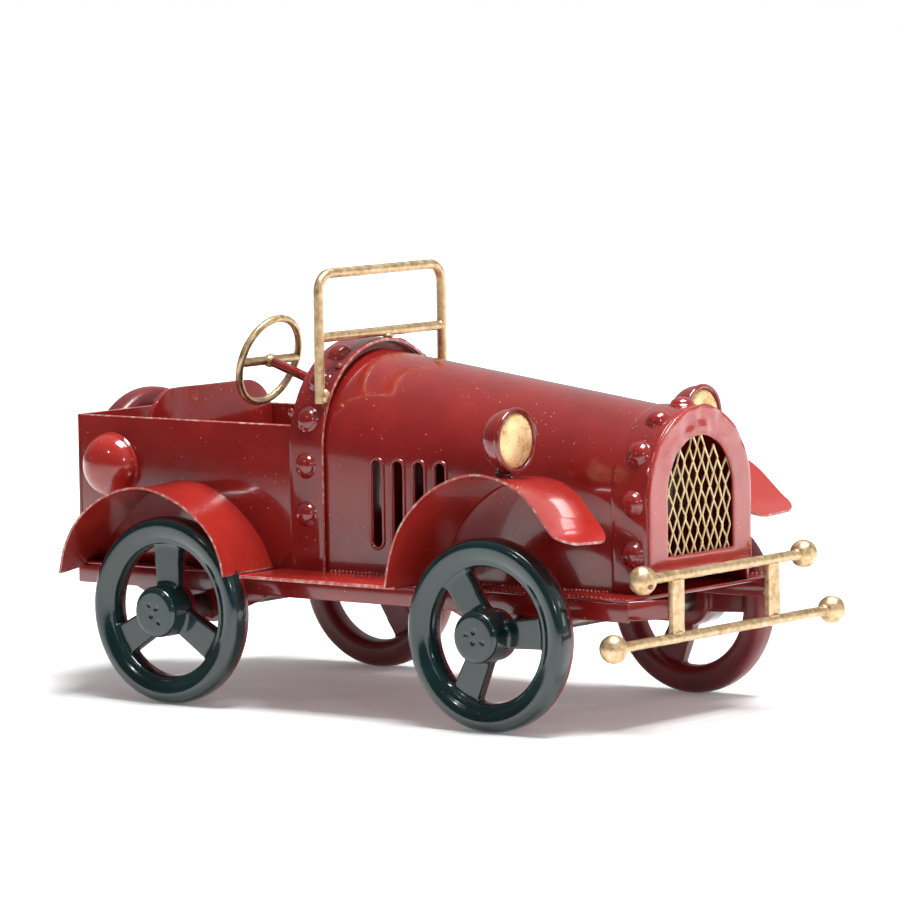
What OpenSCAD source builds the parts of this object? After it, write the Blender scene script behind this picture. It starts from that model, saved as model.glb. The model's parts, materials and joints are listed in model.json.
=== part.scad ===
// Sheet-metal pedal car, display size: open tub, riveted cowl, tapered bonnet, gold trim.
// Millimetres. +X is forward, +Y is the car's left, +Z is up.
// The origin is on the ground, under the centre of the overall box.

/* [Wheels and axles] */
// Distance between the two axles
wheelbase = 87; // [76:0.5:110]
// Distance between the middle planes of a left and a right wheel
track = 74; // [72:0.5:92]
// Outside diameter of a wheel
wheel_d = 41; // [32:0.5:50]
// Thickness of a rim along the axle
rim_t = 6; // [4:0.1:7]
// Radial width of a rim
rim_w = 6.2; // [4:0.1:8]
// Width of a spoke
spoke_w = 6; // [3:0.1:8]
// Thickness of a spoke
spoke_t = 2.8; // [1.5:0.1:4]
// Diameter of a hub
hub_d = 11.2; // [10:0.1:14]
// How far a hub face stands out from the rim's middle plane
hub_out = 6; // [5.5:0.1:8]
// Diameter of an axle rod
axle_d = 3; // [2:0.1:4]
// Outside diameter of a spacer on an axle
spacer_d = 5; // [4.6:0.1:6]
// Radial gap between a turning piece and what it turns on or in
running_gap = 0.05; // [0.02:0.01:0.09]
// End gap beside a turning piece
end_gap = 0.15; // [0.1:0.01:0.3]

/* [Chassis] */
// Top of the deck above the axles
deck_over_axle = 8; // [7.7:0.1:11]
// Half the width of the deck
deck_half = 27; // [25:0.1:30]
// Deck behind the rear axle
deck_rear = 35; // [30:0.5:42]
// Deck in front of the front axle
deck_front = 28.2; // [24:0.1:36]
// Depth of the rails under the deck, deck sheet included
rail_depth = 4.9; // [3.5:0.1:5]
// Thickness of the sheet metal
sheet = 0.8; // [0.5:0.1:1.2]
// Half the length of an axle hanger where it meets the rail
hanger_half = 19; // [10:0.5:24]
// How far the front hangers reach ahead of their axle at the rail
hanger_ahead = 5.5; // [4:0.5:24]
// Thickness of an axle hanger
hanger_t = 1; // [0.6:0.1:1.4]
// Half the overall width over the running boards
board_half = 37.5; // [31:0.5:42]

/* [Tub] */
// Half the outside width of the tub
tub_half = 22.5; // [19:0.1:24]
// Height of the tub wall above the deck
tub_h = 32.1; // [24:0.1:40]
// Tub behind the rear axle
tub_rear = 38.3; // [36:0.1:46]
// Tub in front of the rear axle
tub_front = 22.5; // [21:0.1:30]
// Radius of a side dome
dome_r = 7.1; // [4:0.1:8]
// How far a side dome stands out
dome_h = 5; // [2:0.1:6]
// Seat back behind the rear axle
seat_back_x = 18; // [12:0.5:24]
// Height of the seat back above the deck
seat_back_h = 37.9; // [30:0.1:44]
// Height of the seat above the deck
seat_h = 13; // [8:0.5:18]
// Depth of the seat
seat_depth = 19; // [12:0.5:24]
// How far the spare wheel rises above the tub
spare_rise = 3.9; // [0:0.1:8]
// How far the spare wheel is set to the left of the middle
spare_side = 6; // [-6:0.5:6]

/* [Cowl, bonnet and radiator] */
// Length of the cowl band
cowl_l = 9; // [6:0.1:14]
// Half the width of the cowl band
cowl_half = 22.9; // [20:0.1:25]
// Top of the cowl band above the deck
cowl_h = 49.9; // [44:0.1:58]
// Half the width of the bonnet at its rear end
bonnet_half = 21.7; // [18:0.1:22]
// Top of the bonnet above the deck at its rear end
bonnet_h = 47.5; // [40:0.1:48]
// Half the width of the radiator shell
rad_half = 18.5; // [15:0.1:21]
// Top of the radiator shell above the deck
rad_h = 38.4; // [32:0.1:44]
// Length of the radiator shell
rad_l = 9.4; // [7:0.1:14]
// Width of the radiator face round the grille opening
face_w = 6.5; // [4:0.1:8]
// Diameter of a rivet head
rivet_d = 5.2; // [3:0.1:6]
// Height of a rivet head
rivet_h = 1.6; // [0.8:0.1:2.4]
// Length of a louvre slot
louvre_l = 19; // [12:0.5:22]
// Width of a louvre slot
louvre_w = 3.1; // [2:0.1:4]
// Distance between louvre slots
louvre_pitch = 5.5; // [4.5:0.1:7]
// Width of a diamond of the grille mesh
mesh_w = 3; // [2.5:0.1:4]
// Height of a diamond of the grille mesh
mesh_h = 5.8; // [4.5:0.1:8]
// Width of a strand of the grille mesh
strand = 0.5; // [0.3:0.1:0.7]

/* [Fenders and lamps] */
// Gap between a wheel and the foot of its fender
foot_gap = 1.1; // [0.8:0.1:3]
// Gap between the top of a rear wheel and its fender
rear_arch_gap = 6.4; // [3:0.1:9]
// Gap between the top of a front wheel and its fender
front_arch_gap = 13; // [8:0.1:16]
// Half the overall width over the rear fenders
rear_fender_half = 41.5; // [41:0.1:48]
// Half the overall width over the front fenders
front_fender_half = 40.5; // [40:0.1:48]
// How far each front fender flares out between the wheel and its tip
front_flare = 2.6; // [0:0.1:5]
// Outside radius of a headlamp
lamp_r = 6.9; // [5:0.1:8]
// Depth of a headlamp
lamp_depth = 8; // [5:0.1:10]
// Distance of each headlamp from the middle plane
lamp_side = 33.8; // [30:0.1:38]

/* [Windscreen, steering and bumper] */
// Diameter of the windscreen and bumper rods
rod_d = 2.2; // [1.6:0.1:3]
// Half the distance between the windscreen posts
screen_half = 21.7; // [18:0.1:24]
// Top of the windscreen above the deck
screen_h = 66; // [60:0.5:76]
// Bend radius at the windscreen's top corners
screen_bend = 4; // [2:0.1:6]
// Radius of the steering ring
ring_r = 9.8; // [6:0.1:11]
// Diameter of the steering ring's rod
ring_d = 1.7; // [1:0.1:2]
// Diameter of the bar across the steering ring
crossbar_d = 2; // [1.4:0.1:2.6]
// Diameter of the steering column
column_d = 2.2; // [1.6:0.1:3]
// Height of the steering wheel's centre above the deck
ring_h = 43.8; // [38:0.1:48]
// Slope of the steering column, in degrees
column_slope = 18; // [10:1:24]
// Bumper in front of the front axle
bumper_reach = 34; // [31:0.5:44]
// Half the length of the upper bumper bar, to the middle of its balls
upper_half = 29.5; // [24:0.5:36]
// Half the length of the lower bumper bar, to the middle of its balls
lower_half = 40; // [30:0.5:43]
// Upper bumper bar above the axles
upper_over_axle = 12.6; // [8:0.1:14]
// Lower bumper bar below the axles
lower_under_axle = 0.5; // [0:0.1:4]
// Diameter of a bumper ball
ball_d = 6; // [4:0.1:8]
// Half the distance between the bumper uprights
upright_half = 17.6; // [12:0.1:22]
// Width of a bumper upright
upright_w = 4.2; // [2:0.1:6]

/* [Hidden] */
$fn = 48;
eps = 0.01;

// Paint and metal colours
red = "#A53030";
bright_red = "#C0392F";
green = "#17302F";
gold = "#C9A76A";
steel = "#8C8680";

// Heights
wheel_r = wheel_d / 2;
axle_z = wheel_r;
deck_top = axle_z + deck_over_axle;
deck_bottom = deck_top - sheet;
rail_bottom = deck_top - rail_depth;
tub_top = deck_top + tub_h;

// Wheel details, measured from the rim's middle plane along the axle
hub_in = rim_t / 2 - 0.2;
counterbore_r = 4;
counterbore_floor = 3.3;
nut_t = 1;
axle_end = counterbore_floor + end_gap + nut_t + 0.1;
cap_in = axle_end + 0.2;
cap_out = hub_out + 0.2;
wheel_bore_r = axle_d / 2 + running_gap;

// Overall length, from the spare wheel's nut to the bumper balls
spare_gap = 0.2;
spare_plane = tub_rear + rim_t / 2 + spare_gap;
nut_out = hub_out + 1;
rear_reach = spare_plane + nut_out;
front_reach = wheelbase + bumper_reach + ball_d / 2;

// Stations along the car
x_rear = (rear_reach - front_reach) / 2;
x_front = x_rear + wheelbase;
x_deck0 = x_rear - deck_rear;
x_deck1 = x_front + deck_front;
x_tub0 = x_rear - tub_rear;
x_cowl0 = x_rear + tub_front;
x_cowl1 = x_cowl0 + cowl_l;
x_dash = x_cowl1 - 2.5;
x_face = x_deck1 - sheet;
x_rad = x_face - rad_l;
x_bonnet = x_dash + sheet;
x_bumper = x_front + bumper_reach;
x_spare = x_rear - spare_plane;

// Length of the horizontal half-chord of a circle at a given height
function chord(r, h) = sqrt(r * r - h * h);

// A superellipse round a centre, as points
function loop_points(cx, cy, a, b, n, count) = [
    for (i = [0 : count - 1])
        let (t = 360 * i / count)
        [cx + a * sign(cos(t)) * pow(abs(cos(t)), 2 / n),
         cy + b * sign(sin(t)) * pow(abs(sin(t)), 2 / n)]];

// Upright outline with straight sides and a half-round top
module arch(half, low, top) {
    translate([-half, low])
        square([2 * half, top - half - low]);
    intersection() {
        translate([0, top - half])
            circle(r = half, $fn = 72);
        translate([-half, top - half - eps])
            square([2 * half, half + 1]);
    }
}

// An outline drawn in Y and Z, made a plate from x on, with the given thickness
module plate_x(x, t) {
    translate([x, 0, 0])
        rotate([90, 0, 90])
            linear_extrude(height = t)
                children();
}

// An outline drawn in X and Z, made a plate from y on, with the given thickness
module plate_y(y, t) {
    translate([0, y + t, 0])
        rotate([90, 0, 0])
            linear_extrude(height = t)
                children();
}

// A box from its low corner to its high corner
module box(low, high) {
    translate(low)
        cube(high - low);
}

// A round bar between two points on a line along Y
module bar_y(x, z, half, r) {
    translate([x, -half, z])
        rotate([-90, 0, 0])
            cylinder(h = 2 * half, r = r);
}

// A shallow dome of base radius r and height h, standing on the XY plane
module dome(r, h) {
    ball_r = (r * r + h * h) / (2 * h);
    intersection() {
        translate([0, 0, h - ball_r])
            sphere(r = ball_r);
        cylinder(h = h + 1, r = r + 1);
    }
}

// ---------------------------------------------------------------- chassis

module deck_plate() {
    color(red)
        box([x_deck0, -deck_half, deck_bottom], [x_deck1, deck_half, deck_top]);
}

module side_rail(side) {
    y = side > 0 ? deck_half - sheet : -deck_half;
    color(red)
        box([x_deck0, y, rail_bottom], [x_deck1, y + sheet, deck_bottom]);
}

module cross_rail(x) {
    inner = deck_half - sheet;
    color(red)
        box([x, -inner, rail_bottom], [x + sheet, inner, deck_bottom]);
}

module axle_hangers(x, ahead) {
    foot = axle_d / 2 + 2;
    inner = deck_half - sheet - hanger_t;
    color(red)
        for (y = [-inner - hanger_t, inner])
            difference() {
                plate_y(y, hanger_t)
                    polygon([[x - hanger_half, deck_bottom], [x - hanger_half, rail_bottom],
                        [x - foot, axle_z - foot], [x + foot, axle_z - foot],
                        [x + ahead, rail_bottom], [x + ahead, deck_bottom]]);
                bar_y(x, axle_z, track, axle_d / 2);
            }
}

module axle(x) {
    color(steel)
        bar_y(x, axle_z, track / 2 + axle_end, axle_d / 2);
}

// A ring on an axle, from y0 to y1 on the given side
module axle_ring(x, side, y0, y1, r) {
    translate([x, side * y0, axle_z])
        rotate([-side * 90, 0, 0])
            difference() {
                cylinder(h = y1 - y0, r = r);
                translate([0, 0, -1])
                    cylinder(h = y1 - y0 + 2, r = axle_d / 2);
            }
}

module axle_spacers() {
    color(steel)
        for (x = [x_rear, x_front], side = [-1, 1])
            axle_ring(x, side, deck_half - sheet, track / 2 - hub_in - end_gap, spacer_d / 2);
}

module retaining_nuts() {
    low = track / 2 + counterbore_floor + end_gap;
    color(steel)
        for (x = [x_rear, x_front], side = [-1, 1])
            axle_ring(x, side, low, low + nut_t, counterbore_r - 0.8);
}

// ---------------------------------------------------------------- wheels

// A wheel lying on its middle plane, with its hub face up
module wheel_blank(phase) {
    rim_in = wheel_r - rim_w;
    hub_r = hub_d / 2;
    difference() {
        union() {
            rotate_extrude($fn = 96)
                polygon(loop_points(wheel_r - rim_w / 2, 0, rim_w / 2, rim_t / 2, 2.4, 28));
            for (k = [0 : 2])
                rotate([0, 0, phase + 120 * k])
                    translate([counterbore_r + 0.3, -spoke_w / 2, -spoke_t / 2])
                        cube([rim_in + 1.5 - counterbore_r - 0.3, spoke_w, spoke_t]);
            translate([0, 0, -hub_in])
                cylinder(h = hub_in + hub_out, r = hub_r);
        }
        translate([0, 0, -rim_t])
            cylinder(h = 3 * rim_t, r = wheel_bore_r);
        translate([0, 0, counterbore_floor])
            cylinder(h = hub_out, r = counterbore_r);
    }
}

// Puts what is drawn on a wheel's middle plane where that wheel is
module at_wheel(x, side) {
    translate([x, side * track / 2, axle_z])
        rotate([-side * 90, 0, 0])
            children();
}

module wheel(x, side, phase) {
    color(green)
        at_wheel(x, side)
            wheel_blank(phase);
}

module hub_cap(x, side) {
    color(green)
        at_wheel(x, side)
            translate([0, 0, cap_in])
                cylinder(h = cap_out - cap_in, r = counterbore_r);
}

// ---------------------------------------------------------------- spare wheel

spare_z = tub_top + spare_rise - wheel_r;
bolt_r = axle_d / 2;

// Puts what is drawn on a wheel's middle plane where the spare wheel is
module at_spare() {
    translate([x_spare, spare_side, spare_z])
        rotate([0, -90, 0])
            children();
}

module spare_wheel() {
    color(green)
        at_spare()
            wheel_blank(20);
}

module spare_bolt() {
    head_t = 1.2;
    back = spare_plane - tub_rear + sheet;
    color(steel)
        at_spare() {
            translate([0, 0, -back])
                cylinder(h = back + counterbore_floor + 2, r = bolt_r);
            translate([0, 0, -back - head_t])
                cylinder(h = head_t, r = 2 * bolt_r);
        }
}

module spare_nut() {
    nut_r = counterbore_r - 0.4;
    cap_h = 1.6;
    color(gold)
        at_spare()
            difference() {
                union() {
                    translate([0, 0, counterbore_floor])
                        cylinder(h = nut_out - cap_h - counterbore_floor, r = nut_r);
                    translate([0, 0, nut_out - cap_h])
                        dome(nut_r, cap_h);
                }
                translate([0, 0, counterbore_floor - 1])
                    cylinder(h = 3, r = bolt_r);
            }
}

// ---------------------------------------------------------------- tub

module tub_floor() {
    inner = tub_half - sheet;
    color(red)
        box([x_tub0 + sheet, -inner, deck_top], [x_dash, inner, deck_top + sheet]);
}

module tub_side(side) {
    y = side > 0 ? tub_half - sheet : -tub_half;
    color(red)
        box([x_tub0 + sheet, y, deck_top], [x_cowl0, y + sheet, tub_top]);
}

module tub_rear_panel() {
    color(red)
        difference() {
            box([x_tub0, -tub_half, deck_top], [x_tub0 + sheet, tub_half, tub_top]);
            at_spare()
                translate([0, 0, -2 * rim_t])
                    cylinder(h = 2 * rim_t, r = bolt_r);
        }
}

module side_domes() {
    x = x_tub0 + dome_r + 2.7;
    z = deck_top + 0.657 * tub_h;
    color(red)
        for (side = [-1, 1])
            translate([x, side * tub_half, z])
                rotate([-side * 90, 0, 0])
                    dome(dome_r, dome_h);
}

module seat_back() {
    half = tub_half - sheet - 0.2;
    corner = 9;
    top = deck_top + seat_back_h;
    low = deck_top + sheet;
    color(red)
        plate_x(x_rear - seat_back_x - 1.2, 1.2) {
            translate([-half, low])
                square([2 * half, top - corner - low]);
            translate([corner - half, low])
                square([2 * (half - corner), top - low]);
            for (side = [-1, 1])
                translate([side * (half - corner), top - corner])
                    circle(r = corner);
        }
}

x_seat1 = x_rear - seat_back_x + seat_depth;

module seat_base() {
    half = tub_half - sheet - 0.2;
    z = deck_top + seat_h;
    color(red)
        box([x_rear - seat_back_x, -half, z - sheet], [x_seat1, half, z]);
}

module seat_riser() {
    half = tub_half - sheet - 0.2;
    color(red)
        box([x_seat1 - sheet, -half, deck_top + sheet],
            [x_seat1, half, deck_top + seat_h - sheet]);
}

// ---------------------------------------------------------------- cowl and dash

cowl_top = deck_top + cowl_h;
cowl_mid = (x_cowl0 + x_cowl1) / 2;

module cowl_band() {
    color(red)
        plate_x(x_cowl0, cowl_l)
            difference() {
                arch(cowl_half, deck_top, cowl_top);
                arch(cowl_half - sheet, deck_top - 1, cowl_top - sheet);
            }
}

// Rivet heads seated on an arch: on its straight sides at heights zs, on its round at angles
module arch_rivets(x, half, top, zs, angles) {
    seat = half - 0.2;
    difference() {
        union() {
            for (side = [-1, 1], z = zs)
                translate([x, side * seat, z])
                    rotate([-side * 90, 0, 0])
                        dome(rivet_d / 2, rivet_h);
            for (a = angles)
                translate([x, seat * cos(a), top - half + seat * sin(a)])
                    rotate([a - 90, 0, 0])
                        dome(rivet_d / 2, rivet_h);
        }
        plate_x(x - rivet_d, 2 * rivet_d)
            arch(half, deck_top, top);
    }
}

module cowl_rivets() {
    spring = cowl_top - cowl_half;
    color(red)
        arch_rivets(cowl_mid, cowl_half, cowl_top, [spring - 14, spring - 3.5],
            [16.5, 40, 62, 118, 140, 163.5]);
}

// Frame of the steering column: z runs down the column from the ring's centre
ring_x = x_rear - 1.4;
ring_z = deck_top + ring_h;
bush_l = 5;
bush_mid = (x_dash + sheet / 2 - ring_x) / cos(column_slope);
bush_z = bush_mid - bush_l / 2;
collar_t = 1.1;
column_end = bush_z + bush_l + end_gap + collar_t + 0.4;

module at_column() {
    translate([ring_x, 0, ring_z])
        rotate([0, 90 + column_slope, 0])
            children();
}

module dash_panel() {
    color(red)
        difference() {
            plate_x(x_dash, sheet)
                arch(cowl_half - sheet, deck_top, cowl_top - sheet);
            at_column()
                translate([0, 0, bush_mid - 8])
                    cylinder(h = 16, r = column_d / 2 + 1.4);
        }
}

module steering_bush() {
    color(red)
        at_column()
            translate([0, 0, bush_z])
                difference() {
                    cylinder(h = bush_l, r = column_d / 2 + 1.4);
                    translate([0, 0, -1])
                        cylinder(h = bush_l + 2, r = column_d / 2 + running_gap);
                }
}

module steering_column() {
    color(red)
        at_column()
            translate([0, 0, crossbar_d / 2])
                cylinder(h = column_end - crossbar_d / 2, r = column_d / 2);
}

module column_collars() {
    color(steel)
        at_column()
            for (z = [bush_z - end_gap - collar_t, bush_z + bush_l + end_gap])
                translate([0, 0, z])
                    difference() {
                        cylinder(h = collar_t, r = column_d / 2 + 1);
                        translate([0, 0, -1])
                            cylinder(h = collar_t + 2, r = column_d / 2);
                    }
}

module ring_form() {
    rotate_extrude($fn = 96)
        translate([ring_r, 0])
            circle(d = ring_d);
}

module steering_ring() {
    color(gold)
        at_column()
            ring_form();
}

module steering_crossbar() {
    color(gold)
        at_column()
            difference() {
                bar_y(0, 0, ring_r, crossbar_d / 2);
                ring_form();
            }
}

// ---------------------------------------------------------------- bonnet and radiator

rad_top = deck_top + rad_h;
bonnet_top = deck_top + bonnet_h;
nose_half = rad_half - 0.3;
nose_top = rad_top - 0.5;

// The bonnet's solid form, drawn in by the given amount
module bonnet_form(inset) {
    over = inset > 0 ? 1 : 0;
    hull() {
        plate_x(x_bonnet - over, eps)
            arch(bonnet_half - inset, deck_top - over, bonnet_top - inset);
        plate_x(x_rad - eps + over, eps)
            arch(nose_half - inset, deck_top - over, nose_top - inset);
    }
}

module bonnet() {
    x_louvre = x_cowl1 + 13.5;
    z_louvre = deck_top + 6.5;
    color(red)
        difference() {
            bonnet_form(0);
            bonnet_form(sheet);
            for (k = [0 : 3])
                translate([x_louvre + k * louvre_pitch, 0, z_louvre + louvre_w / 2]) {
                    for (z = [0, louvre_l - louvre_w])
                        translate([0, 0, z])
                            bar_y(0, 0, 2 * bonnet_half, louvre_w / 2);
                    translate([-louvre_w / 2, -2 * bonnet_half, 0])
                        cube([louvre_w, 4 * bonnet_half, louvre_l - louvre_w]);
                }
        }
}

module radiator_shell() {
    color(red)
        plate_x(x_rad, x_face - x_rad)
            difference() {
                arch(rad_half, deck_top, rad_top);
                arch(rad_half - sheet, deck_top - 1, rad_top - sheet);
            }
}

module radiator_rivets() {
    spring = rad_top - rad_half;
    color(red)
        arch_rivets((x_rad + x_face) / 2 + 0.8, rad_half, rad_top,
            [spring - 11.6, spring - 1], [31, 61, 90, 119, 149]);
}

grille_half = rad_half - face_w;
grille_low = deck_top + 7.5;
grille_top = rad_top - face_w + 0.2;

module radiator_face() {
    color(red)
        plate_x(x_face, sheet)
            difference() {
                arch(rad_half, deck_top + 2.5, rad_top);
                arch(grille_half, grille_low, grille_top);
            }
}

module grille_mesh() {
    reach = 1.2;
    mesh_t = 0.5;
    a = mesh_w / 2;
    b = mesh_h / 2;
    k = 1 - strand * norm([a, b]) / (2 * a * b);
    cols = ceil((grille_half + reach) / a);
    rows = ceil((grille_top - grille_low + 2 * reach) / b);
    color(gold)
        plate_x(x_face - mesh_t, mesh_t)
            difference() {
                arch(grille_half + reach, grille_low - reach, grille_top + reach);
                for (i = [-cols : cols], j = [0 : rows])
                    if ((i + j) % 2 == 0)
                        translate([i * a, grille_low - reach + j * b])
                            polygon([[k * a, 0], [0, k * b], [-k * a, 0], [0, -k * b]]);
            }
}

// ---------------------------------------------------------------- fenders and boards

fender_t = sheet;
// Height of the fender feet, on the running boards
foot_z = deck_top + sheet;
foot_over = foot_z - axle_z;
rear_foot = chord(wheel_r + foot_gap, foot_over);

// Thin strip along an elliptical arc round (cx, cz), from angle a0 to a1
function arc_points(cx, cz, a, b, a0, a1, steps) = [
    for (i = [0 : steps])
        let (t = a0 + (a1 - a0) * i / steps)
        [cx + a * cos(t), cz + b * sin(t)]];

function reversed(list) = [for (i = [len(list) - 1 : -1 : 0]) list[i]];

// Rear fender: half an ellipse from the running board over the wheel and down behind it
rear_span = 27;
rear_cx = x_rear + rear_foot - rear_span + fender_t;
rear_b = 2 * wheel_r + rear_arch_gap - foot_z;

module fender_rear(side) {
    outer = arc_points(rear_cx, foot_z, rear_span, rear_b, 0, 182, 40);
    inner = arc_points(rear_cx, foot_z, rear_span - fender_t, rear_b - fender_t, 0, 182, 40);
    y = side > 0 ? tub_half : -rear_fender_half;
    band = side > 0 ? cowl_half : -cowl_half;
    color(bright_red)
        difference() {
            plate_y(y, rear_fender_half - tub_half)
                polygon(concat(outer, reversed(inner)));
            box([x_cowl0, min(0, band), deck_top], [x_cowl1, max(0, band), tub_top]);
        }
}

// Front fender: a quarter ellipse up from the running board, then a drop to a flared tip
front_rise = 25.5;
front_b = 2 * wheel_r + front_arch_gap - foot_z;
tip_x = 21.5;
front_tip_half = front_fender_half + front_flare;
tip_drop = 11.8;

// Smooth fall from the top of the arch to the tip, as a share of the drop
function fall(u) = 1.25 * u * u - 0.25 * pow(u, 6);

function front_line(inset) = concat(
    arc_points(x_front, foot_z, front_rise - inset, front_b - inset, 180, 90, 24),
    [for (i = [1 : 20])
        let (u = i / 20)
        [x_front + u * tip_x - inset * 0.6 * u,
         foot_z + front_b - inset - tip_drop * min(1, fall(u))]]);

module fender_front(side) {
    slope = atan((bonnet_half - rad_half) / (x_front + tip_x - x_bonnet));
    y = side > 0 ? 0 : -front_tip_half;
    color(bright_red)
        difference() {
            plate_y(y, front_tip_half)
                polygon(concat(front_line(0), reversed(front_line(fender_t))));
            translate([0, 0, deck_top - 1])
                linear_extrude(height = 2 * wheel_d)
                    polygon([[x_front - front_rise - 1, side * front_fender_half],
                        [x_front + 4, side * front_fender_half],
                        [x_front + tip_x, side * front_tip_half],
                        [x_front + tip_x, side * (front_tip_half + 5)],
                        [x_front - front_rise - 1, side * (front_tip_half + 5)]]);
            translate([x_bonnet, side * bonnet_half, 0])
                rotate([0, 0, -side * slope])
                    translate([0, side > 0 ? -2 * bonnet_half : 0, 0])
                        cube([2 * wheelbase, 2 * bonnet_half, 4 * wheel_d]);
        }
}

module running_board(side) {
    x0 = x_rear + rear_foot;
    x1 = x_front - front_rise + fender_t;
    y = side > 0 ? tub_half : -board_half;
    inner = side > 0 ? cowl_half : -cowl_half;
    color(red)
        difference() {
            box([x0, y, deck_top], [x1, y + board_half - tub_half, foot_z]);
            box([x_cowl0, min(0, inner), deck_top - 1], [x_cowl1, max(0, inner), foot_z + 1]);
        }
}

// ---------------------------------------------------------------- headlamps

lamp_ahead = 1.6;
lamp_x = x_front + lamp_ahead;
lamp_z = foot_z + front_b - tip_drop * fall(lamp_ahead / tip_x) + lamp_r + 0.35;
lamp_wall = 0.8;
lamp_lip = 1.2;

// Puts what is drawn round Z where a lamp is, with Z turned to the front
module at_lamp(side) {
    translate([lamp_x, side * lamp_side, lamp_z])
        rotate([0, 90, 0])
            children();
}

// Half the section of a lamp bowl, closed behind, open in front at z = 0
function bowl(r, depth) = concat([[0, 0], [r, 0], [r, -lamp_lip]],
    [for (i = [1 : 11])
        let (t = 90 * i / 12)
        [r * cos(t), -lamp_lip - (depth - lamp_lip) * sin(t)]],
    [[0, -depth]]);

module headlamp(side) {
    color(red)
        at_lamp(side)
            difference() {
                translate([0, 0, lamp_depth / 2])
                    rotate_extrude()
                        polygon(bowl(lamp_r, lamp_depth));
                translate([0, 0, lamp_depth / 2 + eps])
                    rotate_extrude()
                        polygon(bowl(lamp_r - lamp_wall, lamp_depth - lamp_wall));
            }
}

module reflector(side) {
    color(gold)
        at_lamp(side)
            translate([0, 0, lamp_depth / 2 - 1])
                dome(lamp_r - lamp_wall, 1.8);
}

module lamp_posts() {
    color(red)
        for (side = [-1, 1])
            translate([lamp_x, side * lamp_side, lamp_z - lamp_r - 0.8])
                cylinder(h = 1.2, r = 1.6);
}

// ---------------------------------------------------------------- windscreen

screen_top = deck_top + screen_h - rod_d / 2;
screen_x = x_cowl1 - 1.2;
// The posts end beside the round of the cowl
post_low = cowl_top - cowl_half + chord(cowl_half, min(screen_half - rod_d / 2, cowl_half - 1));

module windscreen_frame() {
    r = rod_d / 2;
    color(gold)
        translate([screen_x, 0, 0]) {
            for (side = [-1, 1]) {
                translate([0, side * screen_half, post_low])
                    cylinder(h = screen_top - screen_bend - post_low, r = r);
                translate([0, side * (screen_half - screen_bend), screen_top - screen_bend])
                    rotate([90, 0, 90])
                        rotate([0, 0, side > 0 ? 0 : 90])
                            rotate_extrude(angle = 90)
                                translate([screen_bend, 0])
                                    circle(r = r);
            }
            bar_y(0, screen_top, screen_half - screen_bend, r);
        }
}

module windscreen_bar() {
    z = cowl_top + rod_d / 2 + 0.2;
    color(gold)
        difference() {
            bar_y(screen_x, z, screen_half, rod_d / 2);
            for (side = [-1, 1])
                translate([screen_x, side * screen_half, z - rod_d])
                    cylinder(h = 2 * rod_d, r = rod_d / 2);
        }
}

// ---------------------------------------------------------------- bumper

upper_z = axle_z + upper_over_axle;
lower_z = axle_z - lower_under_axle;

// A rod along Y with a ball on each end
module balled_bar(z, half) {
    color(gold) {
        bar_y(x_bumper, z, half, rod_d / 2);
        for (side = [-1, 1])
            translate([x_bumper, side * half, z])
                sphere(d = ball_d);
    }
}

module bumper_uprights() {
    t = 1.2;
    color(gold)
        difference() {
            for (side = [-1, 1])
                translate([x_bumper - t / 2, side * upright_half - upright_w / 2, lower_z])
                    cube([t, upright_w, upper_z - lower_z]);
            bar_y(x_bumper, lower_z, upper_half, rod_d / 2);
            bar_y(x_bumper, upper_z, upper_half, rod_d / 2);
        }
}

module bumper_brackets() {
    t = 1;
    run = x_bumper - 0.6 - x_deck1;
    rise = deck_half - upright_half - upright_w / 2;
    turn = atan(rise / run);
    color(red)
        for (side = [-1, 1])
            intersection() {
                translate([x_deck1, side * deck_half, rail_bottom + 0.4])
                    rotate([0, 0, -side * turn])
                        translate([-5, side > 0 ? -t : 0, 0])
                            cube([norm([run, rise]) + 10, t, rail_depth - 0.8]);
                box([x_deck1, -deck_half, 0], [x_bumper - 0.6, deck_half, tub_top]);
            }
}

// ---------------------------------------------------------------- the nodes

deck_plate();
side_rail(1);  // side_rail_left
side_rail(-1);  // side_rail_right
cross_rail(x_front - hanger_half - 3 * sheet);  // cross_rail_front
cross_rail(x_deck0);  // cross_rail_rear
axle_hangers(x_front, hanger_ahead);  // axle_hangers_front
axle_hangers(x_rear, hanger_half);  // axle_hangers_rear
axle(x_front);  // axle_front
axle(x_rear);  // axle_rear
axle_spacers();
retaining_nuts();
wheel(x_front, 1, 114);  // wheel_front_left
wheel(x_front, -1, 125);  // wheel_front_right
wheel(x_rear, 1, 55);  // wheel_rear_left
wheel(x_rear, -1, 90);  // wheel_rear_right
hub_cap(x_front, 1);  // hub_cap_front_left
hub_cap(x_front, -1);  // hub_cap_front_right
hub_cap(x_rear, 1);  // hub_cap_rear_left
hub_cap(x_rear, -1);  // hub_cap_rear_right
tub_floor();
tub_side(1);  // tub_side_left
tub_side(-1);  // tub_side_right
tub_rear_panel();
side_domes();
seat_back();
seat_base();
seat_riser();
spare_wheel();
spare_bolt();
spare_nut();
cowl_band();
cowl_rivets();
dash_panel();
steering_bush();
steering_column();
column_collars();
steering_ring();
steering_crossbar();
bonnet();
radiator_shell();
radiator_rivets();
radiator_face();
grille_mesh();
fender_front(1);  // fender_front_left
fender_front(-1);  // fender_front_right
fender_rear(1);  // fender_rear_left
fender_rear(-1);  // fender_rear_right
running_board(1);  // running_board_left
running_board(-1);  // running_board_right
headlamp(1);  // headlamp_left
headlamp(-1);  // headlamp_right
reflector(1);  // reflector_left
reflector(-1);  // reflector_right
lamp_posts();
windscreen_frame();
windscreen_bar();
balled_bar(upper_z, upper_half);  // bumper_upper_bar
balled_bar(lower_z, lower_half);  // bumper_lower_bar
bumper_uprights();
bumper_brackets();
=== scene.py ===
"""Looks of the sheet-metal pedal car: enamel, gold paint and the hand-made sheet pieces."""

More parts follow.
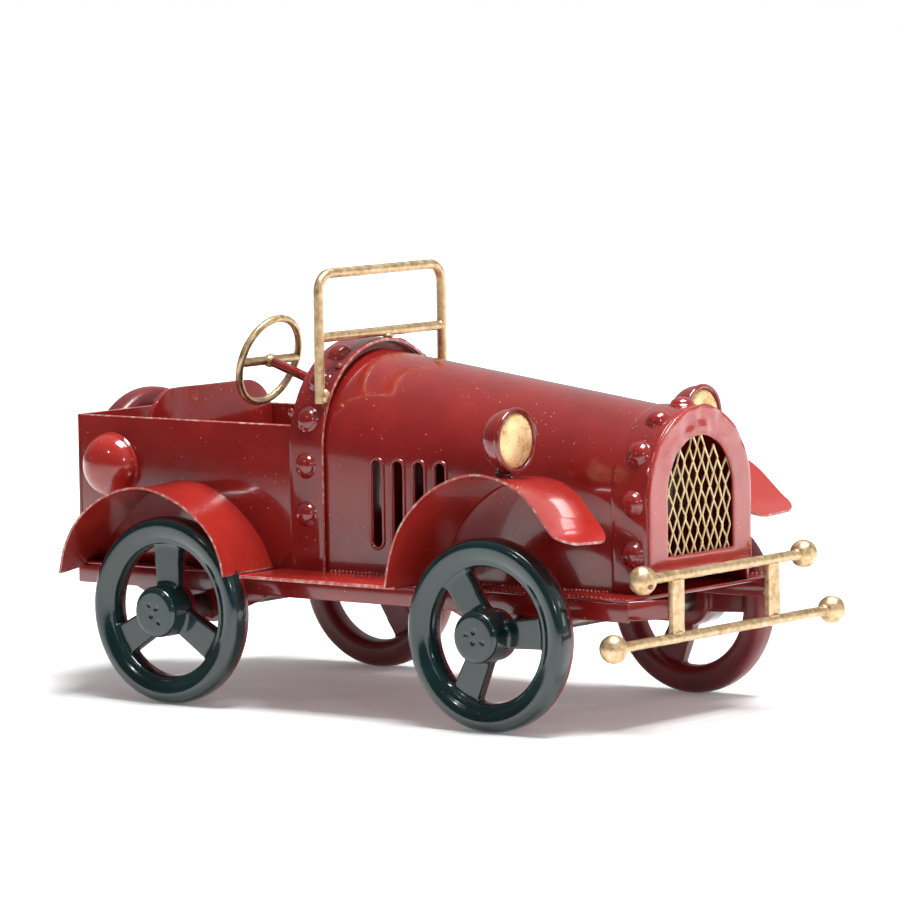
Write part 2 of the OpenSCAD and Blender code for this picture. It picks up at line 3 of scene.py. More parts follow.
import json
import math

import bmesh
import bpy
from bpy.props import FloatProperty, FloatVectorProperty, PointerProperty
from mathutils import Matrix, Vector


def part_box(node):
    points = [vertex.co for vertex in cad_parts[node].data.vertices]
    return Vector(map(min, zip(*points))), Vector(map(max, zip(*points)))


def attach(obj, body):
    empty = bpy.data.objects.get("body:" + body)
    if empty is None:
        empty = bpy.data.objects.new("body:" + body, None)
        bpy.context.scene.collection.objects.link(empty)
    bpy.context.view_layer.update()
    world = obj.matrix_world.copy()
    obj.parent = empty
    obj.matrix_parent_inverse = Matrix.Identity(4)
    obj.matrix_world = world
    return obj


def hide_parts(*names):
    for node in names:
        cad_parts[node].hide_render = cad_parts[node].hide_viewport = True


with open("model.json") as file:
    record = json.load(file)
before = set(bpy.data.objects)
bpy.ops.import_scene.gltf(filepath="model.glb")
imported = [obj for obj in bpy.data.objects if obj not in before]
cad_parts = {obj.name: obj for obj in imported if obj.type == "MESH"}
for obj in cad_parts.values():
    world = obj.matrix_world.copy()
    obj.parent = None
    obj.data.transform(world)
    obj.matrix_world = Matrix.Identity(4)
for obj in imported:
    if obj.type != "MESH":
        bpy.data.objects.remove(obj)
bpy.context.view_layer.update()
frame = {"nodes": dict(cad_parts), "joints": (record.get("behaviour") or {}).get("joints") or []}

bl_info = {
    "name": "Sheet-Metal Pedal Car",
    "version": (1, 0, 0),
    "blender": (4, 5, 0),
    "location": "View3D > Sidebar > Pedal Car",
    "description": "Builds the enamelled sheet-metal pieces of a display pedal car",
    "category": "Object",
}

MM = 0.001
SIDES = {"left": 1, "right": -1}


def low(node):
    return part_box(node)[0]


def high(node):
    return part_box(node)[1]


def middle(node):
    a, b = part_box(node)
    return (a + b) / 2


def size(node):
    a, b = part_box(node)
    return b - a


# Places that several pieces share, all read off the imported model
DECK_TOP = high("deck_plate").z
FOOT_Z = high("running_board_left").z
FRONT_AXLE = middle("axle_front")
REAR_AXLE = middle("axle_rear")
WHEEL_R = size("wheel_front_left").z / 2
# From a wheel's inner end to the middle plane of its rim
HUB_BACK = 2.8 * MM
WHEEL_PLANE = low("wheel_front_left").y + HUB_BACK


# ------------------------------------------------------------------ colours and nodes


def linear(hex_colour):
    """The linear colour of an sRGB hex value."""
    parts = [int(hex_colour[i : i + 2], 16) / 255 for i in (1, 3, 5)]
    return [
        c / 12.92 if c <= 0.04045 else ((c + 0.055) / 1.055) ** 2.4 for c in parts
    ] + [1.0]


def add(tree, kind, settings=None, inputs=None, links=None):
    """Adds one node, sets its settings and inputs, and links other nodes' outputs to it."""
    node = tree.nodes.new(kind)
    for name, value in (settings or {}).items():
        setattr(node, name, value)
    for name, value in (inputs or {}).items():
        node.inputs[name].default_value = value
    for name, output in (links or {}).items():
        tree.links.new(output, node.inputs[name])
    return node


def new_finish(name):
    """An empty material, its node tree and the piece's own coordinates in metres."""
    finish = bpy.data.materials.new(name)
    finish.use_nodes = True
    tree = finish.node_tree
    tree.nodes.clear()
    return finish, tree, add(tree, "ShaderNodeTexCoord").outputs["Object"]


def per_mm(millimetres):
    """Noise scale whose features are about this many millimetres across."""
    return 1.0 / (millimetres * MM)


def noise(tree, where, millimetres, detail, roughness=0.5):
    """Soft noise whose features are about this many millimetres across."""
    inputs = {"Scale": per_mm(millimetres), "Detail": detail, "Roughness": roughness}
    return add(tree, "ShaderNodeTexNoise", None, inputs, {"Vector": where}).outputs["Fac"]


def remap(tree, value, low_in, high_in, low_out=0.0, high_out=1.0, shape="LINEAR"):
    """Maps one range of values to another, and holds what lies outside it."""
    inputs = {"From Min": low_in, "From Max": high_in, "To Min": low_out, "To Max": high_out}
    settings = {"interpolation_type": shape}
    return add(tree, "ShaderNodeMapRange", settings, inputs, {"Value": value}).outputs[0]


def ramped(tree, value, *stops):
    """Colours a value through stops, each a position and a hex colour."""
    node = add(tree, "ShaderNodeValToRGB", links={"Fac": value})
    elements = node.color_ramp.elements
    for element, (position, hex_colour) in zip(elements, (stops[0], stops[-1])):
        element.position = position
        element.color = linear(hex_colour)
    for position, hex_colour in stops[1:-1]:
        elements.new(position).color = linear(hex_colour)
    return node.outputs["Color"]


def blended(tree, inputs, links, blend="MIX"):
    """Mixes the colours A and B by a factor."""
    settings = {"data_type": "RGBA", "blend_type": blend}
    return add(tree, "ShaderNodeMix", settings, inputs, links).outputs["Result"]


def bumped(tree, height, strength, depth, normal=None):
    """Raises a surface by a height pattern this many millimetres deep."""
    links = {"Height": height}
    if normal:
        links["Normal"] = normal
    inputs = {"Strength": strength, "Distance": depth * MM}
    return add(tree, "ShaderNodeBump", None, inputs, links).outputs["Normal"]


def along(tree, where, direction):
    """How far a place lies along a direction."""
    settings = {"operation": "DOT_PRODUCT"}
    node = add(tree, "ShaderNodeVectorMath", settings, {1: direction}, {0: where})
    return node.outputs["Value"]


def surface(tree, inputs, links):
    """Ends a material with its shader and output."""
    shader = add(tree, "ShaderNodeBsdfPrincipled", None, inputs, links)
    add(tree, "ShaderNodeOutputMaterial", links={"Surface": shader.outputs[0]})


def enamel(name, body, deep, light, gloss, peel, dust, dust_colour="#E9B7A4", coat=0.6):
    """Sprayed gloss enamel: a deep clear colour, soft orange peel, slow waves of the
    hand-beaten sheet under it, and a few dust nibs caught in the wet paint."""
    finish, tree, where = new_finish(name)
    # Slow drift between the thin and the thick parts of the coat, about 14 mm across
    drift = ramped(tree, noise(tree, where, 14, 3.0), (0.3, deep), (0.5, body), (0.72, light))
    # Dust nibs 0.3 mm across and a few millimetres apart, drawn as coarse as they need to
    # show. Only the cells of the pattern that the surface cuts near their middle show one.
    cells = {"Scale": per_mm(1.3), "Randomness": 1.0}
    nibs = add(tree, "ShaderNodeTexVoronoi", None, cells, {"Vector": where})
    nib = remap(tree, nibs.outputs["Distance"], 0.05, 0.13, 1.0, 0.0)
    patch = remap(tree, noise(tree, where, 9, 1.0), 0.5, 0.6, 0.0, dust)
    few = add(tree, "ShaderNodeMath", {"operation": "MULTIPLY"}, None, {0: nib, 1: patch})
    few = few.outputs[0]
    # Gloss that falls off a little in hazy patches about 5 mm across
    rough = remap(tree, noise(tree, where, 5, 4.0), 0.3, 0.8, gloss, gloss + 0.14)
    # Waves of the sheet 11 mm apart, then orange peel 0.9 mm apart, then the nibs
    waves = bumped(tree, noise(tree, where, 11, 1.0), 0.35, 0.35)
    peeled = bumped(tree, noise(tree, where, 0.9, 2.0), peel, 0.03, waves)
    colour = blended(tree, {"B": linear(dust_colour)}, {"Factor": few, "A": drift})
    surface(
        tree,
        {"IOR": 1.5, "Coat Weight": coat, "Coat Roughness": 0.03},
        {"Base Color": colour, "Roughness": rough, "Normal": bumped(tree, few, 0.6, 0.06, peeled)},
    )
    return finish


def gold_lacquer(name, body, deep, light, rough_low, flecks, brushed=0.55, metal=0.82):
    """Gold paint brushed by hand over red: warm metallic flake in short streaks, thin
    brownish patches where the red below grins through, and a grainy satin surface."""
    finish, tree, where = new_finish(name)
    # Brush streaks about 1.6 mm apart
    streak = noise(tree, where, 1.6, 5.0, 0.65)
    flake = ramped(tree, streak, (0.32, deep), (0.48, body), (0.68, light))
    rough = remap(tree, streak, 0.3, 0.7, rough_low, rough_low + 0.2)
    # Red undercoat grinning through in patches some 2.6 mm across
    thin = noise(tree, where, 2.6, 3.0)
    bare = remap(tree, thin, 0.64, 0.74, 0.0, flecks)
    colour = blended(tree, {"B": linear("#8A4A2E")}, {"Factor": bare, "A": flake})
    # Flake and dried brush marks, 0.35 mm apart, drawn a little coarse so that they show
    lumps = bumped(tree, thin, 0.5, 0.12)
    marks = bumped(tree, noise(tree, where, 0.35, 3.0), brushed, 0.05, lumps)
    surface(tree, {"Metallic": metal}, {"Base Color": colour, "Roughness": rough, "Normal": marks})
    return finish


def worn_edge_and_highlight(name, highlight_paint_colour, bare_colour):
    """Sheared sheet edge under thin paint: a red lighter than the body is painted on it as a pale
    highlight line where it would catch light, and the paint has chipped off it in short lengths that
    show dull metal."""
    finish, tree, where = new_finish(name)
    chips = noise(tree, where, 1.3, 4.0)
    colours = {"A": linear(highlight_paint_colour), "B": linear(bare_colour)}
    colour = blended(tree, colours, {"Factor": remap(tree, chips, 0.5, 0.62)})
    chipped = bumped(tree, chips, 0.5, 0.05)
    worn = {"Roughness": 0.32, "Coat Weight": 0.3}
    surface(tree, worn, {"Base Color": colour, "Normal": chipped})
    return finish


def drawn_steel(name):
    """Plain drawn steel rod and small turned parts: grey, with fine lines along them
    and a dull film of old oil."""
    finish, tree, where = new_finish(name)
    colour = ramped(tree, noise(tree, where, 3, 4.0), (0.0, "#5E5852"), (1.0, "#A19B94"))
    lines = bumped(tree, noise(tree, where, 0.3, 2.0), 0.3, 0.02)
    surface(tree, {"Metallic": 1.0, "Roughness": 0.38}, {"Base Color": colour, "Normal": lines})
    return finish


FINISHES = {}


def make_finishes():
    peel = bpy.context.scene.pedalcar_paint.orange_peel
    # Each enamel: its colour, its thick and thin parts, gloss, orange peel and dust
    for key, name, *values in (
        ("red", "red_gloss_enamel", "#7A1917", "#6F1615", "#851F1C", 0.12, peel, 0.6),
        # bright: the same red enamel made lighter, painted light for parts that face the lamps
        ("bright", "red_gloss_enamel_with_painted_light", "#9A2620", "#90221D", "#A32B24", 0.13, peel, 0.4),
        ("maroon", "maroon_overspray_enamel", "#6A1518", "#551012", "#7A1C1E", 0.28, peel, 0.2,
         "#8A4A46", 0.1),
        ("green", "bottle_green_gloss_enamel", "#0A2223", "#071A1B", "#0E2B2C", 0.1, peel, 0.5,
         "#4F6F6A", 0.5),
        ("weld", "painted_weld_bead", "#8E302C", "#6B1B1B", "#A8564B", 0.2, 0.6, 0.9),
    ):
        FINISHES[key] = enamel(name, *values)
    # Each gold: its colour, its dark and light streaks, roughness and bare flecks
    for key, name, *values in (
        ("gold", "brushed_gold_lacquer", "#C2A47C", "#A2845C", "#D8C2A0", 0.28, 0.35),
        ("reflector", "lamp_gold_lacquer", "#E8C48C", "#D8AC70", "#F2D8A8", 0.2, 0.05, 0.12, 0.4),
        ("mesh", "pale_gold_lacquer", "#DCC494", "#C8AA74", "#EAD8B0", 0.34, 0.1, 0.3, 0.7),
    ):
        FINISHES[key] = gold_lacquer(name, *values)
    # Sheet edges: a lighter red painted as their pale highlight line, chipped to pale bare metal
    FINISHES["edge"] = worn_edge_and_highlight("worn_red_sheet_edge_and_painted_highlight", "#A8504A", "#B9988A")
    FINISHES["steel"] = drawn_steel("drawn_axle_steel")


# ------------------------------------------------------------------ making shapes


def clear_selection():
    if bpy.context.mode != "OBJECT":
        bpy.ops.object.mode_set(mode="OBJECT")
    bpy.ops.object.select_all(action="DESELECT")


def choose(*objs):
    """Selects just these objects, the first one active."""
    clear_selection()
    for obj in objs:
        obj.select_set(True)
    bpy.context.view_layer.objects.active = objs[0]
    return objs[0]


def edit(obj):
    choose(obj)
    bpy.ops.object.mode_set(mode="EDIT")
    bpy.context.tool_settings.mesh_select_mode = (True, False, False)


def pick(test, kind="FACE"):
    """In edit mode, selects the faces or the vertices that pass a test. It is given a
    face's middle and normal, or a vertex's place and the vertex."""
    bpy.ops.mesh.select_mode(type=kind)
    bpy.ops.mesh.select_all(action="DESELECT")
    mesh = bmesh.from_edit_mesh(bpy.context.object.data)
    if kind == "FACE":
        found = [f for f in mesh.faces if test(f.calc_center_median(), f.normal)]
    else:
        found = [v for v in mesh.verts if test(v.co, v)]
    for element in found:
        element.select_set(True)
    bmesh.update_edit_mesh(bpy.context.object.data)


def draw_line(points):
    """Draws a line of edges by extruding one vertex from point to point. It goes into
    the mesh being edited, or starts a new one."""
    if bpy.context.mode == "OBJECT":
        clear_selection()
        bpy.ops.mesh.primitive_plane_add(size=MM, location=(0, 0, 0))
        bpy.ops.object.mode_set(mode="EDIT")
        bpy.context.tool_settings.mesh_select_mode = (True, False, False)
    else:
        bpy.ops.mesh.select_mode(type="VERT")
        bpy.ops.mesh.select_all(action="DESELECT")
        bpy.ops.mesh.primitive_plane_add(size=MM, location=(0, 0, 0))
    bpy.ops.mesh.merge(type="CENTER")
    points = [Vector(p) for p in points]
    bpy.ops.transform.translate(value=points[0])
    for a, b in zip(points, points[1:]):
        bpy.ops.mesh.extrude_vertices_move(TRANSFORM_OT_translate={"value": b - a})


def end_edit(name):
    """Merges what coincides, leaves edit mode and names the object."""
    bpy.ops.mesh.select_all(action="SELECT")
    bpy.ops.mesh.remove_doubles(threshold=2e-6)
    bpy.ops.object.mode_set(mode="OBJECT")
    obj = bpy.context.object
    obj.name = obj.data.name = name
    return obj


def on_all(obj, *steps):
    """Takes edit-mode steps with the whole mesh selected."""
    edit(obj)
    bpy.ops.mesh.select_all(action="SELECT")
    for step in steps:
        step()
    bpy.ops.object.mode_set(mode="OBJECT")
    return obj


def outward(obj):
    """Turns all faces of a closed piece outwards."""
    return on_all(obj, bpy.ops.mesh.normals_make_consistent)


def facing(obj, axis):
    """Turns a sheet over if its faces look mostly backwards along an axis."""
    if sum(p.normal[axis] * p.area for p in obj.data.polygons) < 0:
        on_all(obj, bpy.ops.mesh.flip_normals)
    return obj


def placed(at, *turns):
    """A place, and turns in degrees made there one after another."""
    matrix = Matrix.Translation(at)
    for degrees, axis in turns:
        matrix = matrix @ Matrix.Rotation(math.radians(degrees), 4, axis)
    return matrix


def in_mm(*points):
    """Points given in millimetres, in metres."""
    return [tuple(c * MM for c in point) for point in points]


def modify(obj, kind, **settings):
    """Adds a modifier with these settings and applies it."""
    choose(obj)
    bpy.ops.object.modifier_add(type=kind)
    modifier = obj.modifiers[-1]
    for name, value in settings.items():
        setattr(modifier, name, value)
    bpy.ops.object.modifier_apply(modifier=modifier.name)
    return obj


def join(name, objs):
    """Joins objects into the first one."""
    choose(*objs)
    if len(objs) > 1:
        bpy.ops.object.join()
    obj = bpy.context.object
    obj.name = obj.data.name = name
    return obj


def move(obj, matrix):
    """Puts an object somewhere and applies the place to its mesh."""
    choose(obj)
    obj.matrix_world = matrix @ obj.matrix_world
    bpy.ops.object.transform_apply(location=True, rotation=True, scale=True)
    return obj


def copy_of(obj, name, matrix):
    """A copy with its own mesh, moved by the matrix."""
    choose(obj)
    bpy.ops.object.duplicate(linked=False)
    copy = bpy.context.object
    copy.name = copy.data.name = name
    return move(copy, matrix)


def mirrored(obj, name):
    """The same piece for the other side of the car."""
    return outward(copy_of(obj, name, Matrix.Scale(-1, 4, (0, 1, 0))))


def spun(profile, steps, name):
    """Spins a profile of (radius, height) points round the upright axis."""
    draw_line([(r, 0, h) for r, h in profile])
    bpy.ops.mesh.select_all(action="SELECT")
    bpy.ops.mesh.spin(steps=steps, angle=2 * math.pi, center=(0, 0, 0), axis=(0, 0, 1))
    return outward(end_edit(name))


def rod(points, radius, name, closed=False, sides=5):
    """A round rod along a line of points."""
    draw_line(list(points) + ([points[0]] if closed else []))
    obj = end_edit(name)
    choose(obj)
    bpy.ops.object.convert(target="CURVE")
    obj = bpy.context.object
    obj.data.dimensions = "3D"
    obj.data.bevel_depth = radius
    obj.data.bevel_resolution = sides
    obj.data.use_fill_caps = True
    bpy.ops.object.convert(target="MESH")
    obj = bpy.context.object
    obj.name = obj.data.name = name
    return on_all(
        obj,
        lambda: bpy.ops.mesh.remove_doubles(threshold=1e-6),
        bpy.ops.mesh.normals_make_consistent,
    )


def softened(node, name, width):
    """A copy of a CAD node with its edges rounded over by paint."""
    source = frame["nodes"][node]
    copy = source.copy()
    copy.data = source.data.copy()
    bpy.context.scene.collection.objects.link(copy)
    copy.parent = None
    for key in list(copy.keys()):
        del copy[key]
    copy.matrix_world = Matrix.Identity(4)
    copy.hide_render = False
    copy.name = copy.data.name = name
    copy.data.materials.clear()
    on_all(
        copy,
        lambda: bpy.ops.mesh.remove_doubles(threshold=2e-6),
        lambda: bpy.ops.mesh.dissolve_limited(angle_limit=math.radians(0.6)),
    )
    modify(
        copy,
        "BEVEL",
        width=width * MM,
        segments=2,
        limit_method="ANGLE",
        angle_limit=math.radians(32),
        use_clamp_overlap=True,
    )
    return copy


def paint(obj, finish, *others):
    """Gives a piece its finish, and more finishes in further slots."""
    obj.data.materials.clear()
    for name in (finish, *others):
        obj.data.materials.append(FINISHES[name])
    return obj


def second_finish(obj, test):
    """Gives the faces that pass a test the piece's second finish."""
    edit(obj)
    pick(test)
    obj.active_material_index = 1
    bpy.ops.object.material_slot_assign()
    bpy.ops.object.mode_set(mode="OBJECT")
    return obj


def finished(obj, body, nodes, smooth=35):
    """Shades a piece, lets it ride on its body and stand for its CAD nodes."""
    choose(obj)
    bpy.ops.object.transform_apply(location=True, rotation=True, scale=True)
    bpy.ops.object.shade_smooth_by_angle(angle=math.radians(smooth))
    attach(obj, body)
    if nodes:
        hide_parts(*nodes)
    return obj


def dressed(node, name, width, finish, smooth=35, body="chassis"):
    """A CAD node's copy with rounded edges, painted and riding on its body."""
    return finished(paint(softened(node, name, width), finish), body, [node], smooth)


def smooth_line(points, per_span):
    """A smooth line through points, by the cubic through each pair and its neighbours."""
    points = [Vector(p) for p in points]
    ends = [2 * points[0] - points[1], *points, 2 * points[-1] - points[-2]]
    line = []
    for k in range(1, len(ends) - 2):
        a, b, c, d = ends[k - 1 : k + 3]
        for i in range(per_span):
            t = i / per_span
            line.append(
                0.5
                * (
                    2 * b
                    + (c - a) * t
                    + (2 * a - 5 * b + 4 * c - d) * t * t
                    + (3 * b - a - 3 * c + d) * t**3
                )
            )
    return line + [points[-1]]


def arch_line(x, half, bottom, top, straight=6, steps=36):
    """Points of an upright arch across the car: straight sides and a half-round top."""
    spring = top - half
    line = [(x, -half, bottom + (spring - bottom) * i / straight) for i in range(straight)]
    line += [
        (x, -half * math.cos(math.pi * i / steps), spring + half * math.sin(math.pi * i / steps))
        for i in range(steps + 1)
    ]
    line += [(x, half, spring - (spring - bottom) * i / straight) for i in range(1, straight + 1)]
    return line


def skin_between(lines, cuts, name):
    """A sheet bridged between lines that have the same number of points."""
    for line in lines:
        draw_line(line)
    bpy.ops.mesh.select_all(action="SELECT")
    bpy.ops.mesh.select_mode(type="EDGE")
    bpy.ops.mesh.bridge_edge_loops(number_cuts=cuts, interpolation="LINEAR")
    return end_edit(name)


def prism(outline, push, name):
    """A closed outline, filled and pushed out into a solid."""
    draw_line(outline + outline[:1])
    bpy.ops.mesh.select_all(action="SELECT")
    bpy.ops.mesh.remove_doubles(threshold=1e-6)
    bpy.ops.mesh.edge_face_add()
    bpy.ops.mesh.extrude_region_move(TRANSFORM_OT_translate={"value": push})
    return outward(end_edit(name))


def ico_ball(subdivisions, radius, name):
    clear_selection()
    bpy.ops.mesh.primitive_ico_sphere_add(
        subdivisions=subdivisions, radius=radius, location=(0, 0, 0)
    )
    obj = bpy.context.object
    obj.name = name
    return obj


def weld_blob(at, radii, name="blob", seed=0):
    """A lump of weld or solder, a little uneven. Its radii are in millimetres."""
    obj = on_all(
        ico_ball(2, 1.0, name),
        lambda: bpy.ops.transform.vertex_random(offset=0.12, seed=seed),
        lambda: bpy.ops.mesh.vertices_smooth(factor=0.4),
    )
    return move(obj, Matrix.Translation(Vector(at)) @ Matrix.Diagonal((*in_mm(radii)[0], 1)))


def bead_line(start, end, pitch, radius, seed):
    """A dotted weld bead along a seam. Pitch and radius are in millimetres."""
    start, end = Vector(start), Vector(end)
    run = end - start
    count = max(2, int(run.length / (pitch * MM)))
    obj = modify(
        ico_ball(1, radius * MM, "seam"),
        "ARRAY",
        count=count,
        use_relative_offset=False,
        use_constant_offset=True,
        constant_offset_displace=run / count,
    )
    uneven_by = radius * 0.35 * MM
    on_all(obj, lambda: bpy.ops.transform.vertex_random(offset=uneven_by, seed=seed))
    return move(obj, Matrix.Translation(start))


# ------------------------------------------------------------------ settings


def length(name, description, millimetres):
    return FloatProperty(
        name=name, description=description, default=millimetres * MM, unit="LENGTH"
    )


class PedalCarPaint(bpy.types.PropertyGroup):
    orange_peel: FloatProperty(
        name="Orange Peel",
        description="Depth of the orange peel in the enamel",
        default=0.35,
        min=0,
        max=1,
    )


class PedalCarSheet(bpy.types.PropertyGroup):
    sheet: length("Sheet", "Thickness of the fender sheet", 0.5)
    rivet_radius: length("Rivet Radius", "Radius of a rivet head", 2.6)
    rivet_height: length("Rivet Height", "Height of a rivet head", 1.6)


class PedalCarStage(bpy.types.PropertyGroup):
    floor_colour: FloatVectorProperty(
        name="Floor",
        description="Colour of the studio floor",
        subtype="COLOR",
        size=3,
        default=(0.9, 0.9, 0.9),
        min=0,
        max=1,
    )
    key_power: FloatProperty(
        name="Key Light",
        description="Power of the overhead softbox",
        default=15.5,
        unit="POWER",
    )
    lens: FloatProperty(name="Lens", description="Focal length of the camera", default=239.15)


# ------------------------------------------------------------------ wheels


def wheel_shape():
    """One wheel lying on its rim's middle plane, outer side up: a rolled rim with a
    bead groove, three flat spokes that widen to the rim, and a stub hub."""
    r = WHEEL_R / MM
    rim = [
        (r, 0.0), (r - 0.08, 1.3), (r - 0.5, 2.3), (r - 1.3, 2.9), (r - 2.4, 3.0), (r - 3.5, 2.75),
        (r - 4.4, 2.35), (r - 4.75, 2.0), (r - 5.0, 2.12), (r - 5.5, 2.1), (r - 5.95, 1.5),
        (r - 6.15, 0.6), (r - 6.15, -0.8), (r - 5.9, -1.9), (r - 5.2, -2.7), (r - 4.2, -3.0),
        (r - 2.2, -3.0), (r - 1.1, -2.75), (r - 0.4, -2.1), (r - 0.06, -1.1),
    ]
    line = smooth_line([(a, 0, b) for a, b in rim + rim[:1]], 3)
    parts = [spun([(p.x * MM, p.z * MM) for p in line], 96, "rim")]
    for k in range(3):
        clear_selection()
        bpy.ops.mesh.primitive_cube_add(size=1, location=(0, 0, 0))
        spoke = bpy.context.object
        spoke.scale = in_mm((12.4, 5.6, 2.7))[0]
        bpy.ops.object.transform_apply(location=True, rotation=True, scale=True)
        edit(spoke)
        pick(lambda co, n: n.x > 0.9)
        bpy.ops.transform.resize(value=(1, 1.24, 1))
        bpy.ops.object.mode_set(mode="OBJECT")
        turn = Matrix.Rotation(math.radians(120 * k), 4, "Z")
        parts.append(move(spoke, turn @ Matrix.Translation((9.0 * MM, 0, 0))))
    hub = in_mm(
        (0, -2.8), (5.0, -2.8), (5.5, -2.3), (5.65, 0), (5.6, 5.1), (5.25, 5.75), (4.6, 6.0), (0, 6.0)
    )
    parts.append(spun(hub, 48, "hub"))
    wheel = join("wheel_blank", parts)
    # One skin over the rim, spokes and hub, with the paint's fillets in the corners
    choose(wheel)
    wheel.data.remesh_voxel_size = 0.36 * MM
    wheel.data.use_remesh_preserve_volume = True
    bpy.ops.object.voxel_remesh()
    modify(wheel, "SMOOTH", factor=0.5, iterations=6)
    return wheel


def cap_shape():
    """The hub's face: a thin disc with a rolled edge and a few dents from the punch."""
    profile = in_mm(
        (0, 5.6), (4.2, 5.6), (4.75, 5.75), (4.85, 5.98), (4.7, 6.14), (4.3, 6.2), (3.4, 6.2),
        (2.5, 6.2), (1.6, 6.18), (0.8, 6.16), (0, 6.15),
    )
    cap = spun(profile, 40, "cap_blank")
    edit(cap)
    pick(lambda co, n: n.z > 0.8 and co.z > 6 * MM)
    bpy.ops.mesh.subdivide(number_cuts=2)
    for x, y, reach in ((1.1, -0.9, 0.8), (-0.6, 0.5, 0.7), (1.6, 1.2, 0.55), (-1.9, -1.4, 0.6)):
        best = min(
            (v for v in bmesh.from_edit_mesh(cap.data).verts if v.co.z > 6 * MM),
            key=lambda v: (v.co.x - x * MM) ** 2 + (v.co.y - y * MM) ** 2,
        ).index
        pick(lambda co, v: v.index == best, "VERT")
        bpy.ops.transform.translate(
            value=(0, 0, -0.28 * MM),
            use_proportional_edit=True,
            proportional_size=reach * MM,
        )
    bpy.ops.object.mode_set(mode="OBJECT")
    return cap


# Turn of each wheel on its axle, in degrees, as it stands at rest
WHEEL_PHASES = {
    "front_right": 125,
    "rear_right": 90,
    "front_left": 114,
    "rear_left": 55,
}


class PEDALCAR_OT_wheels(bpy.types.Operator):
    """Four road wheels with hub faces, and the spare wheel behind the tub"""

    bl_idname = "pedalcar.wheels"
    bl_label = "Wheels"

    def execute(self, context):
        blank, cap = wheel_shape(), cap_shape()
        paint(blank, "green", "maroon")
        second_finish(blank, lambda co, n: co.z < -0.7 * MM or n.z < -0.75)
        paint(cap, "green")
        for name, phase in WHEEL_PHASES.items():
            node = "wheel_" + name
            side = SIDES[name.split("_")[1]]
            if side > 0:
                # On the left wheels the maroon overspray runs round over the tread
                second_finish(blank, lambda co, n: co.z < 1.4 * MM and n.z < 0.5)
            centre = middle(node)
            hub = (centre.x, side * WHEEL_PLANE, centre.z)
            place = placed(hub, (-90 * side, "X"), (phase, "Z"))
            wheel = copy_of(blank, node + "_skin", place)
            finished(wheel, node, [node], 50)
            face = copy_of(cap, "hub_face_" + name, place)
            finished(face, node, ["hub_cap_" + name], 50)
        centre = middle("spare_wheel")
        hub = (high("spare_wheel").x - HUB_BACK, centre.y, centre.z)
        place = placed(hub, (-90, "Y"), (20, "Z"))
        wheel = copy_of(blank, "spare_wheel_skin", place)
        finished(wheel, "chassis", ["spare_wheel"], 50)
        for obj in (blank, cap):
            bpy.data.objects.remove(obj)
        return {"FINISHED"}


# ------------------------------------------------------------------ fenders

# Lines of the sheet's outer and inner edges: millimetres ahead of the axle and above
# the running board, from the tail or foot forwards
REAR_OUTER = [(-28.2, -2.0), (-26.6, 4.0), (-23.0, 9.8), (-17.5, 14.3), (-10.5, 17.3), (-3.0, 18.1),
              (4.6, 16.1), (10.6, 12.9), (15.4, 8.6), (18.0, 3.6), (18.8, 0.0)]
REAR_INNER = [(-35.3, -1.7), (-32.4, 1.6), (-28.7, 5.6), (-24.0, 10.4), (-18.8, 14.4), (-13.5, 16.9),
              (-7.5, 17.9), (-0.5, 16.8), (7.5, 12.4), (13.6, 6.4), (17.1, 0.0)]
FRONT_OUTER = [(-25.2, 0.0), (-23.8, 6.6), (-21.1, 12.8), (-16.9, 17.8), (-11.8, 21.7), (-5.7, 24.3),
               (-0.4, 25.2), (5.2, 24.5), (10.2, 22.8), (14.2, 20.2), (17.6, 16.9),
               (20.9, 13.8), (25.4, 11.6)]
FRONT_INNER = [(-25.0, 0.0), (-23.4, 6.2), (-20.4, 12.0), (-16.2, 16.6), (-11.2, 20.1), (-6.0, 22.2),
               (-1.0, 23.1), (4.2, 22.7), (8.9, 21.4), (13.0, 19.3), (16.8, 16.6),
               (20.2, 13.8), (25.4, 10.6)]
# How far out the edges lie from the middle of the car
REAR_OUT, REAR_IN = 41.5, 22.4
FRONT_OUT, FRONT_IN = 40.6, 20.4
# How much further out the front fender's two edges run towards its free end
FRONT_FLARES = (2.7, 4.2)
# The front fender from above, anticlockwise: millimetres ahead of the axle and to the
# car's left, corner radius, and where the corner's turn starts in degrees
FRONT_CORNERS = [
    (-40, -50, 0, 0),
    (12, -50, 0, 0),
    (24.2 - 5.0, -43.2 + 5.0, 5.0, -90),
    (24.2 - 7.0, -24.2 - 7.0, 7.0, 0),
    (8, -19.6, 0, 0),
    (-40, -15, 0, 0),
]


def fender_shape(name, axle_x, outer, inner, y_out, y_in, flares, corners):
    """A fender: a sheet ruled between its two edge lines, given its thickness downwards,
    and trimmed to a blank with rounded corners at the free end."""
    thickness = bpy.context.scene.pedalcar_sheet.sheet
    lines = []
    for points, y, flare in ((outer, y_out, flares[0]), (inner, y_in, flares[1])):
        line = []
        for x, z in points:
            share = min(1, max(0, (x - 4) / 20)) ** 1.3
            line.append((axle_x + x * MM, -(y + flare * share) * MM, FOOT_Z + z * MM))
        lines.append(smooth_line(line, 6))
    obj = facing(outward(skin_between(lines, 6, name)), 2)
    # The fender is the lighter red, painted light; its rim and cut ends get the pale painted edge
    # highlight
    paint(obj, "bright", "edge")
    modify(
        obj,
        "SOLIDIFY",
        thickness=thickness,
        offset=-1,
        material_offset_rim=1,
        use_even_offset=True,
    )
    if corners:
        blank = trim_blank(axle_x, corners)
        paint(blank, "edge")
        modify(
            obj,
            "BOOLEAN",
            operation="INTERSECT",
            object=blank,
            solver="EXACT",
            material_mode="TRANSFER",
        )
        bpy.data.objects.remove(blank)
    return obj


